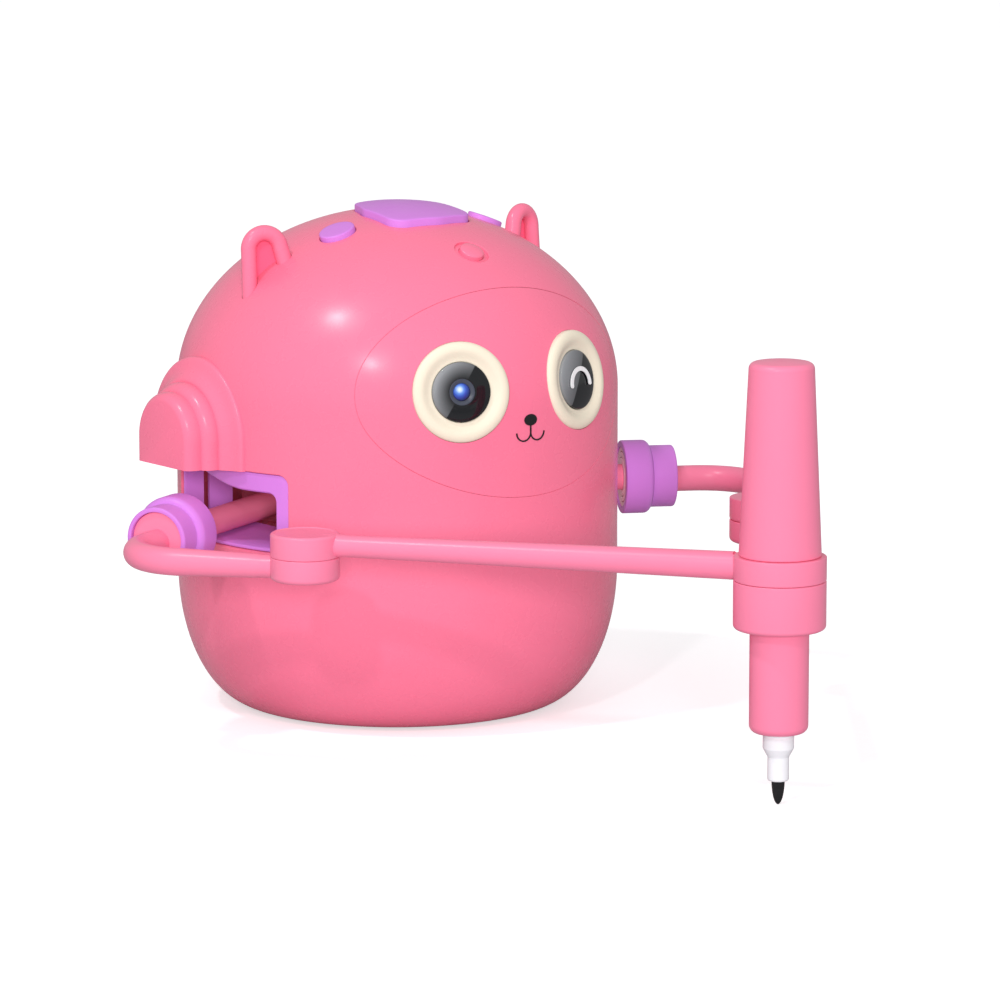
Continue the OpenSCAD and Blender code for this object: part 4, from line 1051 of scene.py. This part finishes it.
# from the felt up: the narrow neck, the shoulder, a groove and the part inside the sleeve
nose_section = soften([
    (0, tip_top, 0), (2.9, tip_top, 0.2), (3.2, tip_top + 0.5, 0.2), (3.2, 14.3, 0.4), (4.1, 15.9, 0.4),
    (4.62, 16.9, 0.3), (4.62, 20.3, 0.1), (4.45, 20.5, 0.05), (4.45, 20.8, 0.05), (4.65, 21, 0.1),
    (4.65, sleeve_lo + 3.05, 0), (0, sleeve_lo + 3.05, 0)])
nose = build("marker_holder", revolve(nose_section, pen_axis, 96))
piece(nose, "marker_white", "pen_unit", ("marker_nose",), sharp=40)

# felt tip: a bullet that stands on the table
TIP_R = 1.95
tip_section = [(TIP_R * sin(radians(a)), tip_top * (1 - cos(radians(a)))) for a in range(0, 91, 5)]
tip = build("felt_tip", revolve(tip_section + [(0, tip_top)], pen_axis, 64))
piece(tip, "marker_ink", "pen_unit", ("marker_tip",), sharp=50)

# ---- floor, light and background ----

# The floor and the background look white to the camera and light the robot only softly.
FLOOR_R = 12000
ground = Finish("floor", 0.75, specular=0.2)
patches = ground.spread(ground.noise(3), 0, 1)
ground.colour(ground.mix(patches, linear((236, 236, 238)), linear((240, 240, 242))))
ground.surface((ground.noise(300), 0.02))
ground.shader.inputs["Emission Color"].default_value = (1, 1, 1, 1)
ground.shader.inputs["Emission Strength"].default_value = 0.52
dim = ground.nodes.new("ShaderNodeBsdfDiffuse")
dim.inputs["Color"].default_value = linear((196, 194, 197))
seen = ground.nodes.new("ShaderNodeLightPath")
either = ground.nodes.new("ShaderNodeMixShader")
ground.links.new(seen.outputs["Is Camera Ray"], either.inputs[0])
ground.links.new(dim.outputs[0], either.inputs[1])
ground.links.new(ground.shader.outputs[0], either.inputs[2])
ground.links.new(either.outputs[0], ground.nodes["Material Output"].inputs["Surface"])
floor = build("floor", loft([[(FLOOR_R * s * cos(a), FLOOR_R * s * sin(a), -0.02) for a in ring_angles(64)]
                             for s in (0, 0.1, 0.5, 1)]))
floor.data.materials.append(ground.material)

world = bpy.data.worlds.new("studio")
bpy.context.scene.world = world
world.use_nodes = True
sky = world.node_tree.nodes["Background"]
sky.inputs["Color"].default_value = (1, 1, 1, 1)
ray = world.node_tree.nodes.new("ShaderNodeLightPath")
level = world.node_tree.nodes.new("ShaderNodeMapRange")
level.inputs["To Min"].default_value = 0.47
level.inputs["To Max"].default_value = 1.0
world.node_tree.links.new(ray.outputs["Is Camera Ray"], level.inputs["Value"])
world.node_tree.links.new(level.outputs["Result"], sky.inputs["Strength"])
bpy.context.scene.view_settings.view_transform = "Standard"
bpy.context.scene.view_settings.look = "None"


def direction(azimuth, elevation):
    """Unit vector from the robot towards a light."""
    a, e = radians(azimuth), radians(elevation)
    return Vector((sin(a) * cos(e), -cos(a) * cos(e), sin(e)))


def add_light(name, kind, strength, towards=None):
    """A linked light, turned to shine from a direction if one is given."""
    made = bpy.data.objects.new(name, bpy.data.lights.new(name, kind))
    made.data.energy = strength
    if towards:
        made.rotation_euler = (-towards).to_track_quat("-Z", "Y").to_euler()
    bpy.context.scene.collection.objects.link(made)
    return made


def softbox(name, azimuth, elevation, size, watts):
    """Round soft light that faces the robot, placed by direction."""
    out = direction(azimuth, elevation)
    made = add_light(name, "AREA", watts, out)
    made.data.shape, made.data.size = "DISK", size
    made.location = Vector((0, 0, 70)) * MM + out * 1.6


# broad light from beside the camera, which leaves no sharp reflection
wash = add_light("wash", "SUN", 1.92, direction(-34, 11.5))
wash.data.angle = radians(14)
wash.visible_glossy = False

# faint light that reaches the inside of the casing
glow = add_light("inside", "POINT", 0.016)
glow.data.shadow_soft_size, glow.data.color = 0.015, (1, 0.7, 0.85)
glow.location = Vector((0, 5, 92)) * MM
glow.visible_glossy = False

softbox("key", -88.1, 59.3, 0.11, 5.0)
softbox("second", -49.8, 32.6, 0.08, 3.4)
